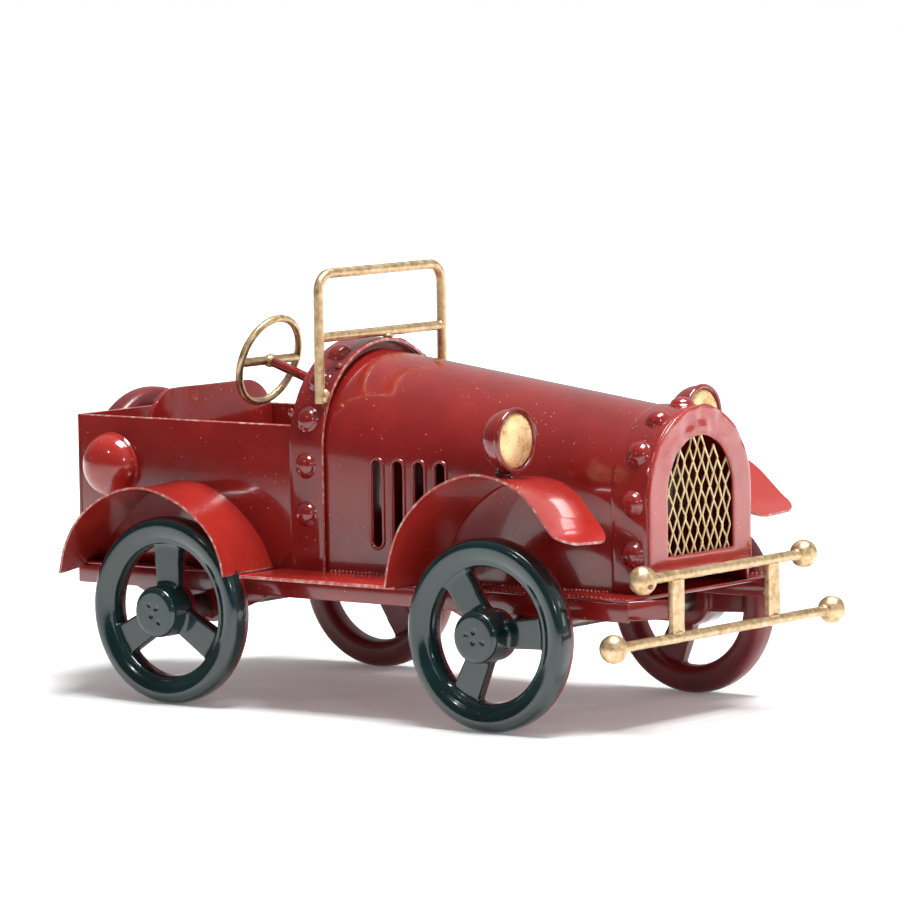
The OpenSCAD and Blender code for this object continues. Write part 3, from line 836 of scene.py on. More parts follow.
def trim_blank(axle_x, corners):
    """An upright prism whose outline is the fender seen from above, corners rounded."""
    outline = []
    for x, y, radius, turn in corners:
        steps = 8 if radius else 0
        for i in range(steps + 1):
            a = math.radians(turn + 90 * i / 8)
            px, py = x + radius * math.cos(a), y + radius * math.sin(a)
            outline.append((axle_x + px * MM, py * MM, 0))
    return prism(outline, (0, 0, 100 * MM), "trim_blank")


class PEDALCAR_OT_fenders(bpy.types.Operator):
    """Front and rear fenders, ruled sheets in the lighter red of painted light, with worn edges
    painted with a pale highlight line
    """

    bl_idname = "pedalcar.fenders"
    bl_label = "Fenders"

    def execute(self, context):
        rear = fender_shape(
            "fender_rear_right_sheet",
            REAR_AXLE.x,
            REAR_OUTER,
            REAR_INNER,
            REAR_OUT,
            REAR_IN,
            (0, 0),
            None,
        )
        front = fender_shape(
            "fender_front_right_sheet",
            FRONT_AXLE.x,
            FRONT_OUTER,
            FRONT_INNER,
            FRONT_OUT,
            FRONT_IN,
            FRONT_FLARES,
            FRONT_CORNERS,
        )
        for obj, node in ((rear, "fender_rear"), (front, "fender_front")):
            left = mirrored(obj, node + "_left_sheet")
            finished(obj, "chassis", [node + "_right"], 40)
            finished(left, "chassis", [node + "_left"], 40)
        return {"FINISHED"}


# ------------------------------------------------------------------ body shell


def slot_line(x, z0, z1, half, lip, y_at):
    """The outline of an upright slot with round ends, grown by a lip."""
    r = half + lip
    line = []
    for end, way in ((z1 - half, 1), (z0 + half, -1)):
        for i in range(11):
            t = math.pi * i / 10
            px = x - way * r * math.cos(t)
            line.append((px, y_at(px), end + way * r * math.sin(t)))
    return line


class PEDALCAR_OT_bonnet(bpy.types.Operator):
    """Tapered bonnet with four louvre slots a side, each with a pressed lip"""

    bl_idname = "pedalcar.bonnet"
    bl_label = "Bonnet"

    def execute(self, context):
        a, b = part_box("bonnet")
        nose_half = high("radiator_shell").y - 0.3 * MM
        nose_top = high("radiator_shell").z - 0.5 * MM
        rear = arch_line(a.x, b.y, a.z, b.z)
        nose = arch_line(b.x, nose_half, a.z, nose_top)
        shell = facing(outward(skin_between([rear, nose], 14, "bonnet_skin")), 2)
        paint(shell, "red")
        modify(shell, "SOLIDIFY", thickness=0.8 * MM, offset=-1)
        pitch, half, reach = 5.5 * MM, 1.45 * MM, 40 * MM
        z0, z1 = a.z + 6.5 * MM, a.z + 25.5 * MM
        xs = [high("cowl_band").x + 13.5 * MM + k * pitch for k in range(4)]
        for x in xs:
            outline = slot_line(x, z0, z1, half, 0, lambda px: -reach)
            cutter = prism(outline, (0, 2 * reach, 0), "slot_cutter")
            modify(shell, "BOOLEAN", operation="DIFFERENCE", object=cutter, solver="EXACT")
            bpy.data.objects.remove(cutter)
        taper = (nose_half - b.y) / (b.x - a.x)
        lips = []
        for x in xs:
            for side in (-1, 1):
                wall = lambda px: side * (b.y + taper * (px - a.x))
                loop = slot_line(x, z0, z1, half, 0.2 * MM, wall)
                lips.append(rod(loop, 0.42 * MM, "louvre_lip", closed=True, sides=3))
        lip = paint(join("louvre_lips", lips), "red")
        finished(shell, "chassis", ["bonnet"], 30)
        finished(lip, "chassis", [], 60)
        return {"FINISHED"}


def rivet_shape():
    """A dome-headed rivet with the paint's fillet round its foot."""
    sheet = bpy.context.scene.pedalcar_sheet
    r, h = sheet.rivet_radius, sheet.rivet_height
    head = [(0.93, 0.3), (0.8, 0.6), (0.55, 0.85), (0.28, 0.97), (0, 1)]
    profile = [(0, -0.25 * MM), (r * 1.12, -0.25 * MM), (r * 1.1, 0.02 * MM), (r * 0.99, 0.12 * MM)]
    return spun(profile + [(r * across, h * up) for across, up in head], 28, "rivet")


def riveted(name, node, x, half, top, heights, angles):
    """Rivets standing on an arch: on its straight sides and round its top."""
    blank = rivet_shape()
    spring = top - half
    parts = []
    places = [(side * half, z, 0 if side > 0 else 180) for side in (-1, 1) for z in heights]
    for a in angles:
        t = math.radians(a)
        places.append((half * math.cos(t), spring + half * math.sin(t), a))
    for y, z, turn in places:
        parts.append(copy_of(blank, "rivet", placed((x, y, z), (turn - 90, "X"))))
    bpy.data.objects.remove(blank)
    obj = paint(join(name, parts), "red")
    return finished(obj, "chassis", [node], 60)


def bevel_edges(obj, width, segments):
    """Rounds a sheet's sharp edges, as thick paint does."""
    limits = {"limit_method": "ANGLE", "angle_limit": math.radians(50)}
    return modify(obj, "BEVEL", width=width, segments=segments, **limits)


def arch_band(name, node):
    """A band bent over an arch, its edges rounded by paint."""
    a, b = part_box(node)
    lines = [arch_line(x, b.y, a.z, b.z) for x in (a.x, b.x)]
    band = facing(outward(skin_between(lines, 6, name)), 2)
    # The band's rim gets the worn edge with its painted pale highlight line
    paint(band, "red", "edge")
    modify(band, "SOLIDIFY", thickness=0.8 * MM, offset=-1, material_offset_rim=1)
    bevel_edges(band, 0.18 * MM, 2)
    return finished(band, "chassis", [node], 35)


class PEDALCAR_OT_cowl(bpy.types.Operator):
    """Riveted cowl band, dash panel and steering bush"""

    bl_idname = "pedalcar.cowl"
    bl_label = "Cowl"

    def execute(self, context):
        arch_band("cowl_band_sheet", "cowl_band")
        a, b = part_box("cowl_band")
        spring = b.z - b.y
        riveted(
            "cowl_rivet_heads",
            "cowl_rivets",
            (a.x + b.x) / 2,
            b.y,
            b.z,
            [spring - 14 * MM, spring - 3.5 * MM],
            [16.5, 40, 62, 118, 140, 163.5],
        )
        dressed("dash_panel", "dash_sheet", 0.15, "red")
        dressed("steering_bush", "steering_bush_turned", 0.25, "red", 50)
        return {"FINISHED"}


class PEDALCAR_OT_tub(bpy.types.Operator):
    """Open tub: floor, sides, rear panel, round side domes and the bent seat sheets"""

    bl_idname = "pedalcar.tub"
    bl_label = "Tub"

    def execute(self, context):
        for node, name, width in (
            ("tub_floor", "tub_floor_sheet", 0.2),
            ("tub_side_left", "tub_side_left_sheet", 0.25),
            ("tub_side_right", "tub_side_right_sheet", 0.25),
            ("tub_rear_panel", "tub_rear_sheet", 0.25),
            ("seat_base", "seat_base_sheet", 0.3),
            ("seat_riser", "seat_riser_sheet", 0.2),
        ):
            piece = paint(softened(node, name, width), "red", "edge")
            top = high(node).z
            if node.startswith("tub_s") or node.startswith("tub_r"):
                # The top faces of the sides and rear panel get the worn edge, painted as a pale
                # highlight line
                second_finish(piece, lambda co, n: n.z > 0.3 and co.z > top - 0.4 * MM)
            finished(piece, "chassis", [node])
        seat = softened("seat_back", "seat_back_sheet", 0.3)
        a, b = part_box("seat_back")
        # Cut into strips, then pressed into a shallow bow with a crease right of middle
        edit(seat)
        for k in range(1, 16):
            bpy.ops.mesh.select_all(action="SELECT")
            y = a.y + (b.y - a.y) * k / 16
            bpy.ops.mesh.bisect(plane_co=(0, y, 0), plane_no=(0, 1, 0))
        pick(lambda co, v: abs(co.y + 7 * MM) < 1.6 * MM, "VERT")
        bpy.ops.transform.translate(
            value=(-0.55 * MM, 0, 0),
            use_proportional_edit=True,
            proportional_size=6 * MM,
        )
        bpy.ops.object.mode_set(mode="OBJECT")
        paint(seat, "red", "edge")
        finished(seat, "chassis", ["seat_back"], 30)
        a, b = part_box("side_domes")
        r, h = size("side_domes").z / 2, b.y - high("tub_side_left").y
        fillet = 0.3 * MM
        profile = [(0, -fillet), (r + 0.25 * MM, -fillet)]
        profile += [(r + 0.25 * MM, 0.05 * MM), (r + 0.02 * MM, 0.22 * MM)]
        for degrees in range(5, 90, 7):
            t = math.radians(degrees)
            profile.append((r * math.cos(t) ** 0.9, fillet + (h - fillet) * math.sin(t)))
        profile.append((0, h))
        parts = []
        for side in (-1, 1):
            place = ((a.x + b.x) / 2, side * high("tub_side_left").y, (a.z + b.z) / 2)
            parts.append(move(spun(profile, 56, "dome"), placed(place, (-90 * side, "X"))))
        # The domes are the lighter red, painted light on the body's one red
        domes = paint(join("side_dome_pressings", parts), "bright")
        finished(domes, "chassis", ["side_domes"], 60)
        return {"FINISHED"}


class PEDALCAR_OT_radiator(bpy.types.Operator):
    """Riveted radiator shell, its beaten face and the expanded-metal grille"""

    bl_idname = "pedalcar.radiator"
    bl_label = "Radiator"

    def execute(self, context):
        arch_band("radiator_shell_sheet", "radiator_shell")
        a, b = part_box("radiator_shell")
        spring = b.z - b.y
        riveted(
            "radiator_rivet_heads",
            "radiator_rivets",
            (a.x + b.x) / 2 + 0.8 * MM,
            b.y,
            b.z,
            [spring - 11.6 * MM, spring - 1 * MM],
            [31, 61, 90, 119, 149],
        )
        self.face()
        self.grille()
        return {"FINISHED"}

    def face(self):
        a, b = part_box("radiator_face")
        wide = 6.5 * MM
        half, low_z = b.y, a.z
        opening_low = DECK_TOP + 7.5 * MM
        outer = arch_line(a.x, half, low_z, b.z, 10, 44)
        inner = arch_line(a.x, half - wide, opening_low, b.z - wide + 0.2 * MM, 10, 44)
        foot = 12
        outer += [(a.x, half - 2 * half * i / foot, low_z) for i in range(1, foot)]
        inner += [(a.x, (half - wide) * (1 - 2 * i / foot), opening_low) for i in range(1, foot)]
        draw_line(outer + outer[:1])
        draw_line(inner + inner[:1])
        bpy.ops.mesh.select_all(action="SELECT")
        bpy.ops.mesh.remove_doubles(threshold=1e-6)
        bpy.ops.mesh.select_mode(type="EDGE")
        bpy.ops.mesh.bridge_edge_loops(number_cuts=5, interpolation="LINEAR")
        plate = facing(end_edit("radiator_face_sheet"), 0)
        # Beaten surface: shallow dents, deepest where the sheet was crimped over the top
        dents = bpy.data.textures.new("beaten_sheet", "CLOUDS")
        dents.noise_scale = 3.5 * MM
        group = plate.vertex_groups.new(name="beaten")
        for v in plate.data.vertices:
            up = (v.co.z - low_z) / (b.z - low_z)
            group.add([v.index], 0.15 + 0.85 * max(0, up * 2 - 1), "REPLACE")
        modify(plate, "SOLIDIFY", thickness=0.8 * MM, offset=1)
        bevel_edges(plate, 0.3 * MM, 3)
        modify(
            plate,
            "DISPLACE",
            texture=dents,
            texture_coords="LOCAL",
            direction="X",
            mid_level=0.5,
            strength=1.1 * MM,
            vertex_group="beaten",
        )
        # The face is the lighter red, painted light on the body's one red
        paint(plate, "bright")
        finished(plate, "chassis", ["radiator_face"], 40)

    def grille(self):
        a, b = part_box("grille_mesh")
        x = (a.x + b.x) / 2
        half = (b.y - a.y) / 2 - 0.3 * MM
        top, bottom = b.z - 0.3 * MM, a.z + 0.1 * MM
        col, row = 1.5 * MM, 2.9 * MM
        spring = top - half

        def inside(y, z):
            if z < bottom - 1e-6 or abs(y) > half:
                return False
            return z <= spring or y * y + (z - spring) ** 2 <= half * half

        strands = []
        columns = int(half / col) + 2
        rows = int((top - bottom) / row) + 2
        # Each strand zigzags upwards, and touches its neighbour at every other bend
        for i in range(-columns, columns):
            run = []
            for j in range(rows):
                y = (i + (j + i) % 2) * col
                z = bottom + j * row
                wobble = 0.18 * MM * math.sin(i * 2.3 + j * 1.7)
                if inside(y, z):
                    run.append((x + 0.12 * MM * math.sin(i + 2 * j), y + wobble, z + wobble / 2))
                elif len(run) > 1:
                    break
                else:
                    run = []
            if len(run) > 1:
                strands.append(rod(run, 0.27 * MM, "strand", sides=1))
        mesh = paint(join("expanded_mesh", strands), "mesh")
        finished(mesh, "chassis", ["grille_mesh"], 60)


# ------------------------------------------------------------------ chassis


class PEDALCAR_OT_chassis(bpy.types.Operator):
    """Deck, rails, hangers, running boards, axles and their small steel parts"""

    bl_idname = "pedalcar.chassis"
    bl_label = "Chassis"

    def execute(self, context):
        for node, width in (
            ("deck_plate", 0.3),
            ("side_rail_left", 0.25),
            ("side_rail_right", 0.25),
            ("cross_rail_front", 0.25),
            ("cross_rail_rear", 0.25),
            ("axle_hangers_front", 0.3),
            ("axle_hangers_rear", 0.3),
        ):
            dressed(node, node + "_sheet", width, "red")
        for side in SIDES:
            node = "running_board_" + side
            # The board is the lighter red of painted light, and its outer edge gets the pale painted
            # edge highlight
            piece = paint(softened(node, node + "_sheet", 0.2), "bright", "edge")
            outer = high(node).y if SIDES[side] > 0 else low(node).y
            second_finish(piece, lambda co, n: abs(n.y) > 0.5 and abs(co.y - outer) < 0.3 * MM)
            finished(piece, "chassis", [node])
        bare = ("axle_front", "axle_rear", "axle_spacers", "retaining_nuts", "spare_bolt")
        for node in (*bare, "column_collars"):
            for slot in frame["nodes"][node].material_slots:
                slot.material = FINISHES["steel"]
        dressed("spare_nut", "spare_cap_nut", 0.2, "gold", 50)
        return {"FINISHED"}


class PEDALCAR_OT_welds(bpy.types.Operator):
    """Dotted weld beads along the seams of the body and deck"""

    bl_idname = "pedalcar.welds"
    bl_label = "Weld Beads"

    def execute(self, context):
        tub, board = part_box("tub_side_right"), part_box("running_board_right")
        bonnet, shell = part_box("bonnet"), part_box("radiator_shell")
        band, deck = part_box("cowl_band"), high("deck_plate")
        z = DECK_TOP + 0.05 * MM
        edge_y = deck.y - 0.1 * MM
        parts, lumps = [], []
        for side in (-1, 1):
            for x0, y0, x1, y1, height, pitch, radius, seed in (
                # Radiator shell and bonnet to the deck
                (board[1].x + 1 * MM, bonnet[1].y - 0.6 * MM, shell[0].x, shell[1].y + 0.15 * MM,
                 z, 0.95, 0.42, 3),
                # Bonnet to the running board
                (bonnet[0].x + 3 * MM, bonnet[1].y + 0.1 * MM, board[1].x, bonnet[1].y - 1.0 * MM,
                 FOOT_Z, 1.0, 0.4, 5),
                # Edge of the deck ahead of the running board
                (board[1].x + 2 * MM, edge_y, deck.x, edge_y, z - 0.1 * MM, 1.15, 0.3, 7),
                # Foot of the rear fender, across the running board
                (REAR_AXLE.x + 18.6 * MM, REAR_OUT * MM, REAR_AXLE.x + 17.3 * MM, 23.2 * MM,
                 FOOT_Z, 0.9, 0.3, 11),
            ):
                start, end = (x0, side * y0, height), (x1, side * y1, height)
                parts.append(bead_line(start, end, pitch, radius, seed))
            tub_y = -(tub[1].y if side < 0 else tub[0].y)
            for at, radii, seed in (
                ((tub[1].x - 1.2 * MM, tub_y, tub[1].z - 4.8 * MM), (1.0, 0.35, 1.1), 2),
                ((band[0].x + 0.7 * MM, side * band[1].y, DECK_TOP + 34.8 * MM), (0.9, 0.5, 1.2), 4),
                ((band[1].x - 1.4 * MM, side * 14.5 * MM, band[1].z - 5.2 * MM), (1.2, 1.4, 0.8), 5),
            ):
                lumps.append(weld_blob(at, radii, seed=seed))
        beads = paint(join("seam_beads", parts), "weld")
        finished(beads, "chassis", [], 80)
        blobs = paint(join("body_weld_lumps", lumps), "red")
        finished(blobs, "chassis", [], 80)
        return {"FINISHED"}


# ------------------------------------------------------------------ lamps


class PEDALCAR_OT_lamps(bpy.types.Operator):
    """Two headlamps: spun bowls with a rolled rim, gold reflectors and short necks"""

    bl_idname = "pedalcar.lamps"
    bl_label = "Headlamps"

    def execute(self, context):
        necks = []
        foot = low("lamp_posts").z
        for side in SIDES:
            a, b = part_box("headlamp_" + side)
            centre = (a + b) / 2
            r, depth = (b.z - a.z) / 2, b.x - a.x
            back = 1.6 * MM
            bowl = [(0, -depth)]
            for degrees in range(8, 90, 8):
                t = math.radians(degrees)
                bowl.append(((r - 0.35 * MM) * math.sin(t), -back - (depth - back) * math.cos(t)))
            # The rolled rim, in millimetres in from the radius and back from the front
            for inward, h in (
                (0.35, -1.5), (0.25, -1.2), (0, -0.95), (-0.02, -0.5), (0.15, -0.1), (0.5, 0.0),
                (0.85, -0.15), (1.0, -0.6), (1.0, -1.4),
            ):
                bowl.append((r - inward * MM, h * MM))
            bowl.append((0, -2.4 * MM))
            place = placed((b.x, centre.y, centre.z), (90, "Y"))
            housing = paint(move(spun(bowl, 56, "headlamp_housing_" + side), place), "red")
            finished(housing, "chassis", ["headlamp_" + side], 60)
            lens_r = r - 1.0 * MM
            bulge = 1.9 * MM
            lens = [(0, -bulge), (lens_r, -1.5 * MM), (lens_r, -1.15 * MM)]
            for degrees in range(10, 90, 10):
                t = math.radians(degrees)
                lens.append((lens_r * math.cos(t), -1.1 * MM + bulge * math.sin(t)))
            lens.append((0, 0.8 * MM))
            glass = move(spun(lens, 56, "headlamp_reflector_" + side), place)
            paint(glass, "reflector")
            finished(glass, "chassis", ["reflector_" + side], 60)
            neck = in_mm(
                (0, -0.4), (2.2, -0.4), (1.9, 0.3), (1.4, 0.9), (1.3, 1.7), (1.6, 2.4), (0, 2.6)
            )
            necks.append(move(spun(neck, 24, "neck"), placed((centre.x, centre.y, foot))))
            at = (centre.x, centre.y, foot + 0.5 * MM)
            necks.append(weld_blob(at, (2.4, 2.2, 0.8), seed=8))
        neck = paint(join("lamp_necks", necks), "red")
        finished(neck, "chassis", ["lamp_posts"], 60)
        return {"FINISHED"}


# ------------------------------------------------------------------ gold rods


def uneven(obj, amount, grain, name):
    """Presses a slight unevenness into a hand-finished rod, in millimetres."""
    texture = bpy.data.textures.new(name, "CLOUDS")
    texture.noise_scale = grain * MM
    return modify(
        obj,
        "DISPLACE",
        texture=texture,
        texture_coords="LOCAL",
        direction="NORMAL",
        mid_level=0.5,
        strength=amount * MM,
    )


def resampled(points, step):
    """The same line with points no further apart than a step."""
    points = [Vector(p) for p in points]
    line = [points[0]]
    for a, b in zip(points, points[1:]):
        n = max(1, int((b - a).length / step))
        line += [a.lerp(b, i / n) for i in range(1, n + 1)]
    return line


class PEDALCAR_OT_windscreen(bpy.types.Operator):
    """Windscreen hoop bent from rod, its lower bar and the solder at its joints"""

    bl_idname = "pedalcar.windscreen"
    bl_label = "Windscreen"

    def execute(self, context):
        a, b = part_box("windscreen_frame")
        r = (b.x - a.x) / 2
        x = (a.x + b.x) / 2
        half, top, foot = b.y - r, b.z - r, a.z
        bend = 4 * MM
        line = [(x, -half, foot)]
        for i in range(9):
            t = math.pi / 2 * i / 8
            line.append((x, -half + bend - bend * math.cos(t), top - bend + bend * math.sin(t)))
        line += [(px, -py, pz) for px, py, pz in reversed(line)]
        hoop = rod(resampled(line, 1.0 * MM), r, "windscreen_hoop")
        paint(uneven(hoop, 0.16, 1.6, "hoop_unevenness"), "gold")
        finished(hoop, "chassis", ["windscreen_frame"], 60)
        c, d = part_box("windscreen_bar")
        z = (c.z + d.z) / 2
        bar = rod(resampled([(x, -half, z), (x, half, z)], 1.0 * MM), r * 0.97, "bar")
        uneven(bar, 0.16, 1.4, "bar_unevenness")
        lumps = []
        for side in (-1, 1):
            at = (x, side * (half - 0.9 * MM), z)
            lumps.append(weld_blob(at, (1.35, 0.9, 1.35), seed=3 + side))
        at = (x + 0.3 * MM, 2.2 * MM, z - 0.9 * MM)
        lumps.append(weld_blob(at, (1.3, 1.9, 0.7), seed=9))
        for side in (-1, 1):
            at = (x + 1.1 * MM, side * (half - 0.6 * MM), foot + 1.6 * MM)
            lumps.append(weld_blob(at, (1.0, 1.1, 1.7), seed=12 + side))
        bar = paint(join("windscreen_lower_bar", [bar, *lumps]), "gold")
        finished(bar, "chassis", ["windscreen_bar"], 60)
        return {"FINISHED"}


class PEDALCAR_OT_steering(bpy.types.Operator):
    """Steering wheel: ring and crossbar in gold, soldered hub and red column"""

    bl_idname = "pedalcar.steering"
    bl_label = "Steering"

    def execute(self, context):
        joint = [j for j in frame["joints"] if j["name"] == "steering_turn"][0]
        centre, axis = Vector(joint["pos_m"]), Vector(joint["axis"]).normalized()
        across = Vector((0, 1, 0))
        upright = across.cross(axis).normalized()
        rod_r = 0.85 * MM
        ring_r = (high("steering_ring").y - low("steering_ring").y) / 2 - rod_r
        loop = []
        for i in range(80):
            t = 2 * math.pi * i / 80
            loop.append(centre + ring_r * (math.cos(t) * across + math.sin(t) * upright))
        ring = rod(loop, rod_r, "steering_hoop", closed=True)
        paint(uneven(ring, 0.12, 1.5, "ring_unevenness"), "gold")
        finished(ring, "steering_wheel", ["steering_ring"], 60)
        ends = [centre - ring_r * across, centre + ring_r * across]
        bar = rod(resampled(ends, 0.8 * MM), 1.0 * MM, "cross")
        uneven(bar, 0.16, 1.2, "cross_unevenness")
        lumps = [weld_blob(centre + 0.4 * MM * axis, (1.6, 2.2, 1.6), seed=21)]
        for side in (-1, 1):
            at = centre + side * (ring_r - 0.5 * MM) * across
            lumps.append(weld_blob(at, (0.9, 0.8, 0.9), seed=22 + side))
        bar = paint(join("steering_crosspiece", [bar, *lumps]), "gold")
        finished(bar, "steering_wheel", ["steering_crossbar"], 60)
        body = "steering_wheel"
        dressed("steering_column", "steering_column_rod", 0.15, "red", 50, body)
        return {"FINISHED"}


class PEDALCAR_OT_bumper(bpy.types.Operator):
    """Bumper: two balled bars, flat uprights and the red brackets that carry them"""

    bl_idname = "pedalcar.bumper"
    bl_label = "Bumper"

    def execute(self, context):
        for level in ("upper", "lower"):
            node, name = f"bumper_{level}_bar", f"bumper_{level}_rod"
            a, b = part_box(node)
            c = (a + b) / 2
            ball_r = (b.z - a.z) / 2
            half = b.y - ball_r
            ends = [(c.x, -half, c.z), (c.x, half, c.z)]
            bar = rod(resampled(ends, 1.0 * MM), 1.1 * MM, "bar")
            parts = [uneven(bar, 0.2, 1.5, name + "_unevenness")]
            for side in (-1, 1):
                clear_selection()
                bpy.ops.mesh.primitive_uv_sphere_add(
                    segments=40, ring_count=24, radius=ball_r, location=(0, 0, 0)
                )
                ball = bpy.context.object
                uneven(ball, 0.22, 2.2, name + "_ball_unevenness")
                parts.append(move(ball, placed((c.x, side * half, c.z))))
                at = (c.x, side * (half - ball_r * 0.96), c.z)
                parts.append(weld_blob(at, (1.45, 0.9, 1.45), seed=30 + side))
            obj = paint(join(name, parts), "gold")
            finished(obj, "chassis", [node], 60)
        upper, lower = middle("bumper_upper_bar"), middle("bumper_lower_bar")
        uprights = softened("bumper_uprights", "uprights", 0.25)
        edit(uprights)
        for k in range(1, 8):
            bpy.ops.mesh.select_all(action="SELECT")
            z = lower.z + (upper.z - lower.z) * k / 8
            bpy.ops.mesh.bisect(plane_co=(0, 0, z), plane_no=(0, 0, 1))
        bpy.ops.object.mode_set(mode="OBJECT")
        uneven(uprights, 0.3, 2.5, "upright_unevenness")
        lumps = []
        for side in (-1, 1):
            y = side * (high("bumper_uprights").y - 2.1 * MM)
            for z, s in ((upper.z - 1.0 * MM, 40), (lower.z + 1.0 * MM, 42)):
                lumps.append(weld_blob((upper.x, y, z), (1.1, 2.3, 0.8), seed=s + side))
        obj = paint(join("bumper_flat_uprights", [uprights, *lumps]), "gold")
        finished(obj, "chassis", ["bumper_uprights"], 60)
        dressed("bumper_brackets", "bumper_bracket_strips", 0.25, "red")
        a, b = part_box("bumper_brackets")
        y = high("bumper_uprights").y
        lumps = []
        for side in (-1, 1):
            at = (b.x - 1.6 * MM, side * (y - 0.6 * MM), b.z - 1.1 * MM)
            lumps.append(weld_blob(at, (0.8, 0.5, 0.9), seed=50 + side))
            at = (b.x - 2.9 * MM, side * (y + 0.2 * MM), a.z + 1.4 * MM)
            lumps.append(weld_blob(at, (0.5, 0.4, 0.5), seed=52 + side))
        at = (upper.x + 2.2 * MM, low("bumper_upper_bar").y + 2.4 * MM, upper.z - 0.9 * MM)
        smudge = weld_blob(at, (0.75, 1.1, 0.9), "bumper_ball_paint_smudge", seed=60)
        finished(paint(smudge, "red"), "chassis", [], 80)
        splashes = paint(join("bracket_gold_splashes", lumps), "gold")
        finished(splashes, "chassis", [], 80)
        return {"FINISHED"}


# ------------------------------------------------------------------ stage


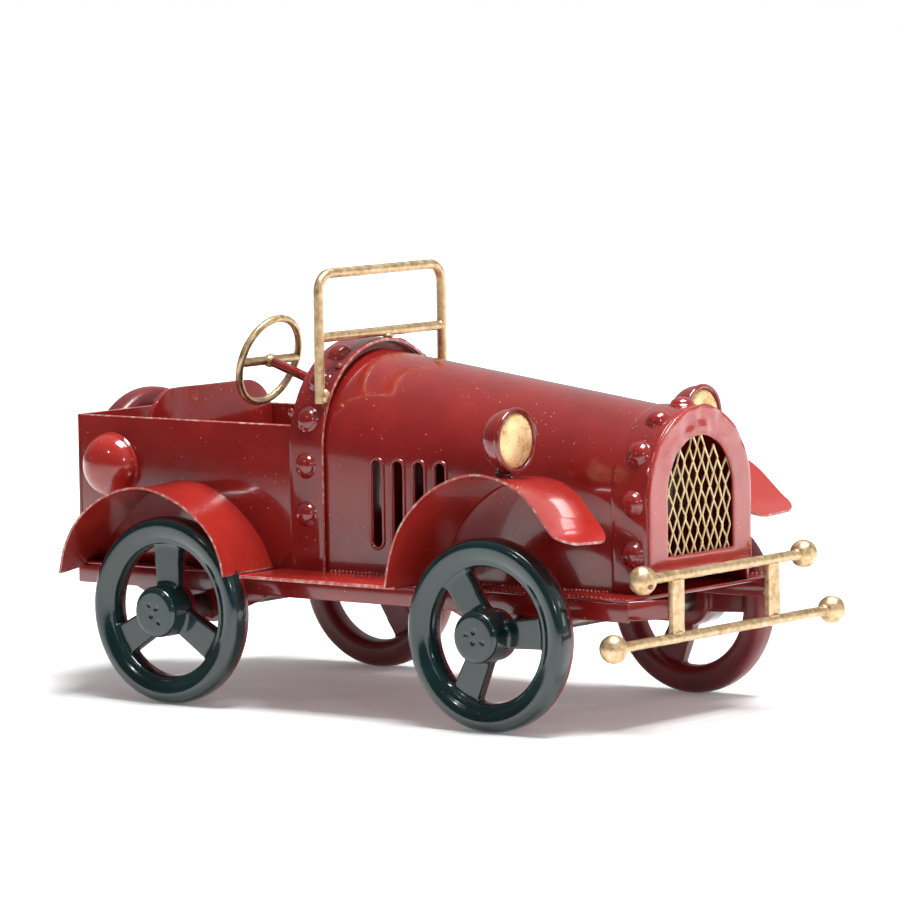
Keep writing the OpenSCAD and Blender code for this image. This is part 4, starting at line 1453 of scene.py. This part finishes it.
class PEDALCAR_OT_stage(bpy.types.Operator):
    """Pale floor, soft studio light and the camera"""

    bl_idname = "pedalcar.stage"
    bl_label = "Stage"

    def execute(self, context):
        scene = context.scene
        settings = scene.pedalcar_stage
        clear_selection()
        bpy.ops.mesh.primitive_circle_add(vertices=96, radius=6, fill_type="NGON", location=(0, 0, 0))
        floor = context.object
        floor.name = "studio_floor"
        finish, tree, where = new_finish("white_paper_floor")
        fibre = remap(tree, noise(tree, where, 30, 2.0), 0.0, 1.0, 0.97, 1.0)
        tint = {"Factor": 1.0, "B": (*settings.floor_colour, 1)}
        colour = blended(tree, tint, {"A": fibre}, "MULTIPLY")
        # The paper glows, a painted light, from behind further back and to the car's left front, so
        # it
        #         stays white to the horizon and gives the radiator its pale reflection
        behind = along(tree, where, (-0.61, 0.79, 0))
        beside = along(tree, where, (0.79, 0.61, 0))
        far = remap(tree, behind, 0.05, 0.5, 0.12, 1.0, "SMOOTHSTEP")
        bright = remap(tree, beside, 0.22, 0.6, 0.0, 1.3, "SMOOTHSTEP")
        glow = add(tree, "ShaderNodeMath", {"operation": "ADD"}, None, {0: far, 1: bright})
        surface(
            tree,
            {"Roughness": 0.7, "Emission Color": (1, 1, 1, 1)},
            {"Base Color": colour, "Emission Strength": glow.outputs[0]},
        )
        floor.data.materials.append(finish)

        world = bpy.data.worlds.new("studio_room")
        scene.world = world
        world.use_nodes = True
        tree = world.node_tree
        tree.nodes.clear()
        way = add(tree, "ShaderNodeTexCoord")
        # The room is bright behind and above the car, and darker on the camera's left
        lit = along(tree, way.outputs["Generated"], (0.25, 0.72, 0.64))
        tone = remap(tree, lit, -0.6, 0.9, 0.08, 0.5, "SMOOTHSTEP")
        ray = add(tree, "ShaderNodeLightPath")
        seen = add(
            tree,
            "ShaderNodeMix",
            {"data_type": "FLOAT"},
            {"B": 1.0},
            {"Factor": ray.outputs["Is Camera Ray"], "A": tone},
        ).outputs["Result"]
        white = {"Color": (1, 1, 1, 1)}
        back = add(tree, "ShaderNodeBackground", None, white, {"Strength": seen})
        add(tree, "ShaderNodeOutputWorld", links={"Surface": back.outputs[0]})

        # Each light: where it is, what it points at, its power and its two sides
        for name, place, aim, power, wide, deep in (
            ("overhead_softbox", (0.16, 0.0, 0.9), (0, 0, 0), settings.key_power, 0.5, 0.36),
            ("front_panel", (0.95, 0.5, 0.35), (0, 0, 0.04), 1.2, 0.4, 0.4),
            ("left_lamp", (-0.25, -0.95, 0.62), (-0.02, 0, 0.05), 0.5, 0.06, 0.06),
            ("right_lamp", (0.98, -0.68, 0.5), (-0.02, 0, 0.05), 1.1, 0.08, 0.08),
        ):
            direction = Vector(aim) - Vector(place)
            bpy.ops.object.light_add(
                type="AREA",
                location=place,
                rotation=direction.to_track_quat("-Z", "Y").to_euler(),
            )
            lamp = context.object
            lamp.name = name
            lamp.data.energy = power
            lamp.data.shape = "RECTANGLE"
            lamp.data.size, lamp.data.size_y = wide, deep

        right = Vector((0.79392789, 0.60784118, -0.01440866))
        up = Vector((-0.04436241, 0.08154596, 0.99568179))
        back_way = Vector((0.60639136, -0.78986034, 0.09170691))
        turn = Matrix((right, up, back_way)).transposed().to_euler()
        bpy.ops.object.camera_add(location=(0.797134, -1.023933, 0.173395), rotation=turn)
        camera = context.object
        camera.name = "studio_camera"
        camera.data.lens = settings.lens
        camera.data.sensor_width = 36
        camera.data.clip_end = 30
        scene.camera = camera
        scene.view_settings.view_transform = "Standard"
        return {"FINISHED"}


class PEDALCAR_PT_pieces(bpy.types.Panel):
    """Lists the car's pieces and settings in the sidebar"""

    bl_idname = "PEDALCAR_PT_pieces"
    bl_label = "Pedal Car"
    bl_space_type = "VIEW_3D"
    bl_region_type = "UI"
    bl_category = "Pedal Car"

    def draw(self, context):
        for group in ("pedalcar_paint", "pedalcar_sheet", "pedalcar_stage"):
            settings = getattr(context.scene, group)
            for name in settings.__annotations__:
                self.layout.prop(settings, name)
        for operator in OPERATORS:
            self.layout.operator(operator.bl_idname)


GROUPS = {
    "pedalcar_paint": PedalCarPaint,
    "pedalcar_sheet": PedalCarSheet,
    "pedalcar_stage": PedalCarStage,
}
OPERATORS = (
    PEDALCAR_OT_chassis,
    PEDALCAR_OT_tub,
    PEDALCAR_OT_cowl,
    PEDALCAR_OT_bonnet,
    PEDALCAR_OT_radiator,
    PEDALCAR_OT_fenders,
    PEDALCAR_OT_wheels,
    PEDALCAR_OT_lamps,
    PEDALCAR_OT_windscreen,
    PEDALCAR_OT_steering,
    PEDALCAR_OT_bumper,
    PEDALCAR_OT_welds,
    PEDALCAR_OT_stage,
)


def register():
    for cls in (*GROUPS.values(), *OPERATORS, PEDALCAR_PT_pieces):
        bpy.utils.register_class(cls)
    for name, cls in GROUPS.items():
        setattr(bpy.types.Scene, name, PointerProperty(type=cls))


def unregister():
    for name in GROUPS:
        delattr(bpy.types.Scene, name)
    for cls in (PEDALCAR_PT_pieces, *reversed(OPERATORS), *GROUPS.values()):
        bpy.utils.unregister_class(cls)


def main():
    register()
    make_finishes()
    for operator in OPERATORS:
        group, name = operator.bl_idname.split(".")
        getattr(getattr(bpy.ops, group), name)()
    clear_selection()


if __name__ == "__main__":
    main()
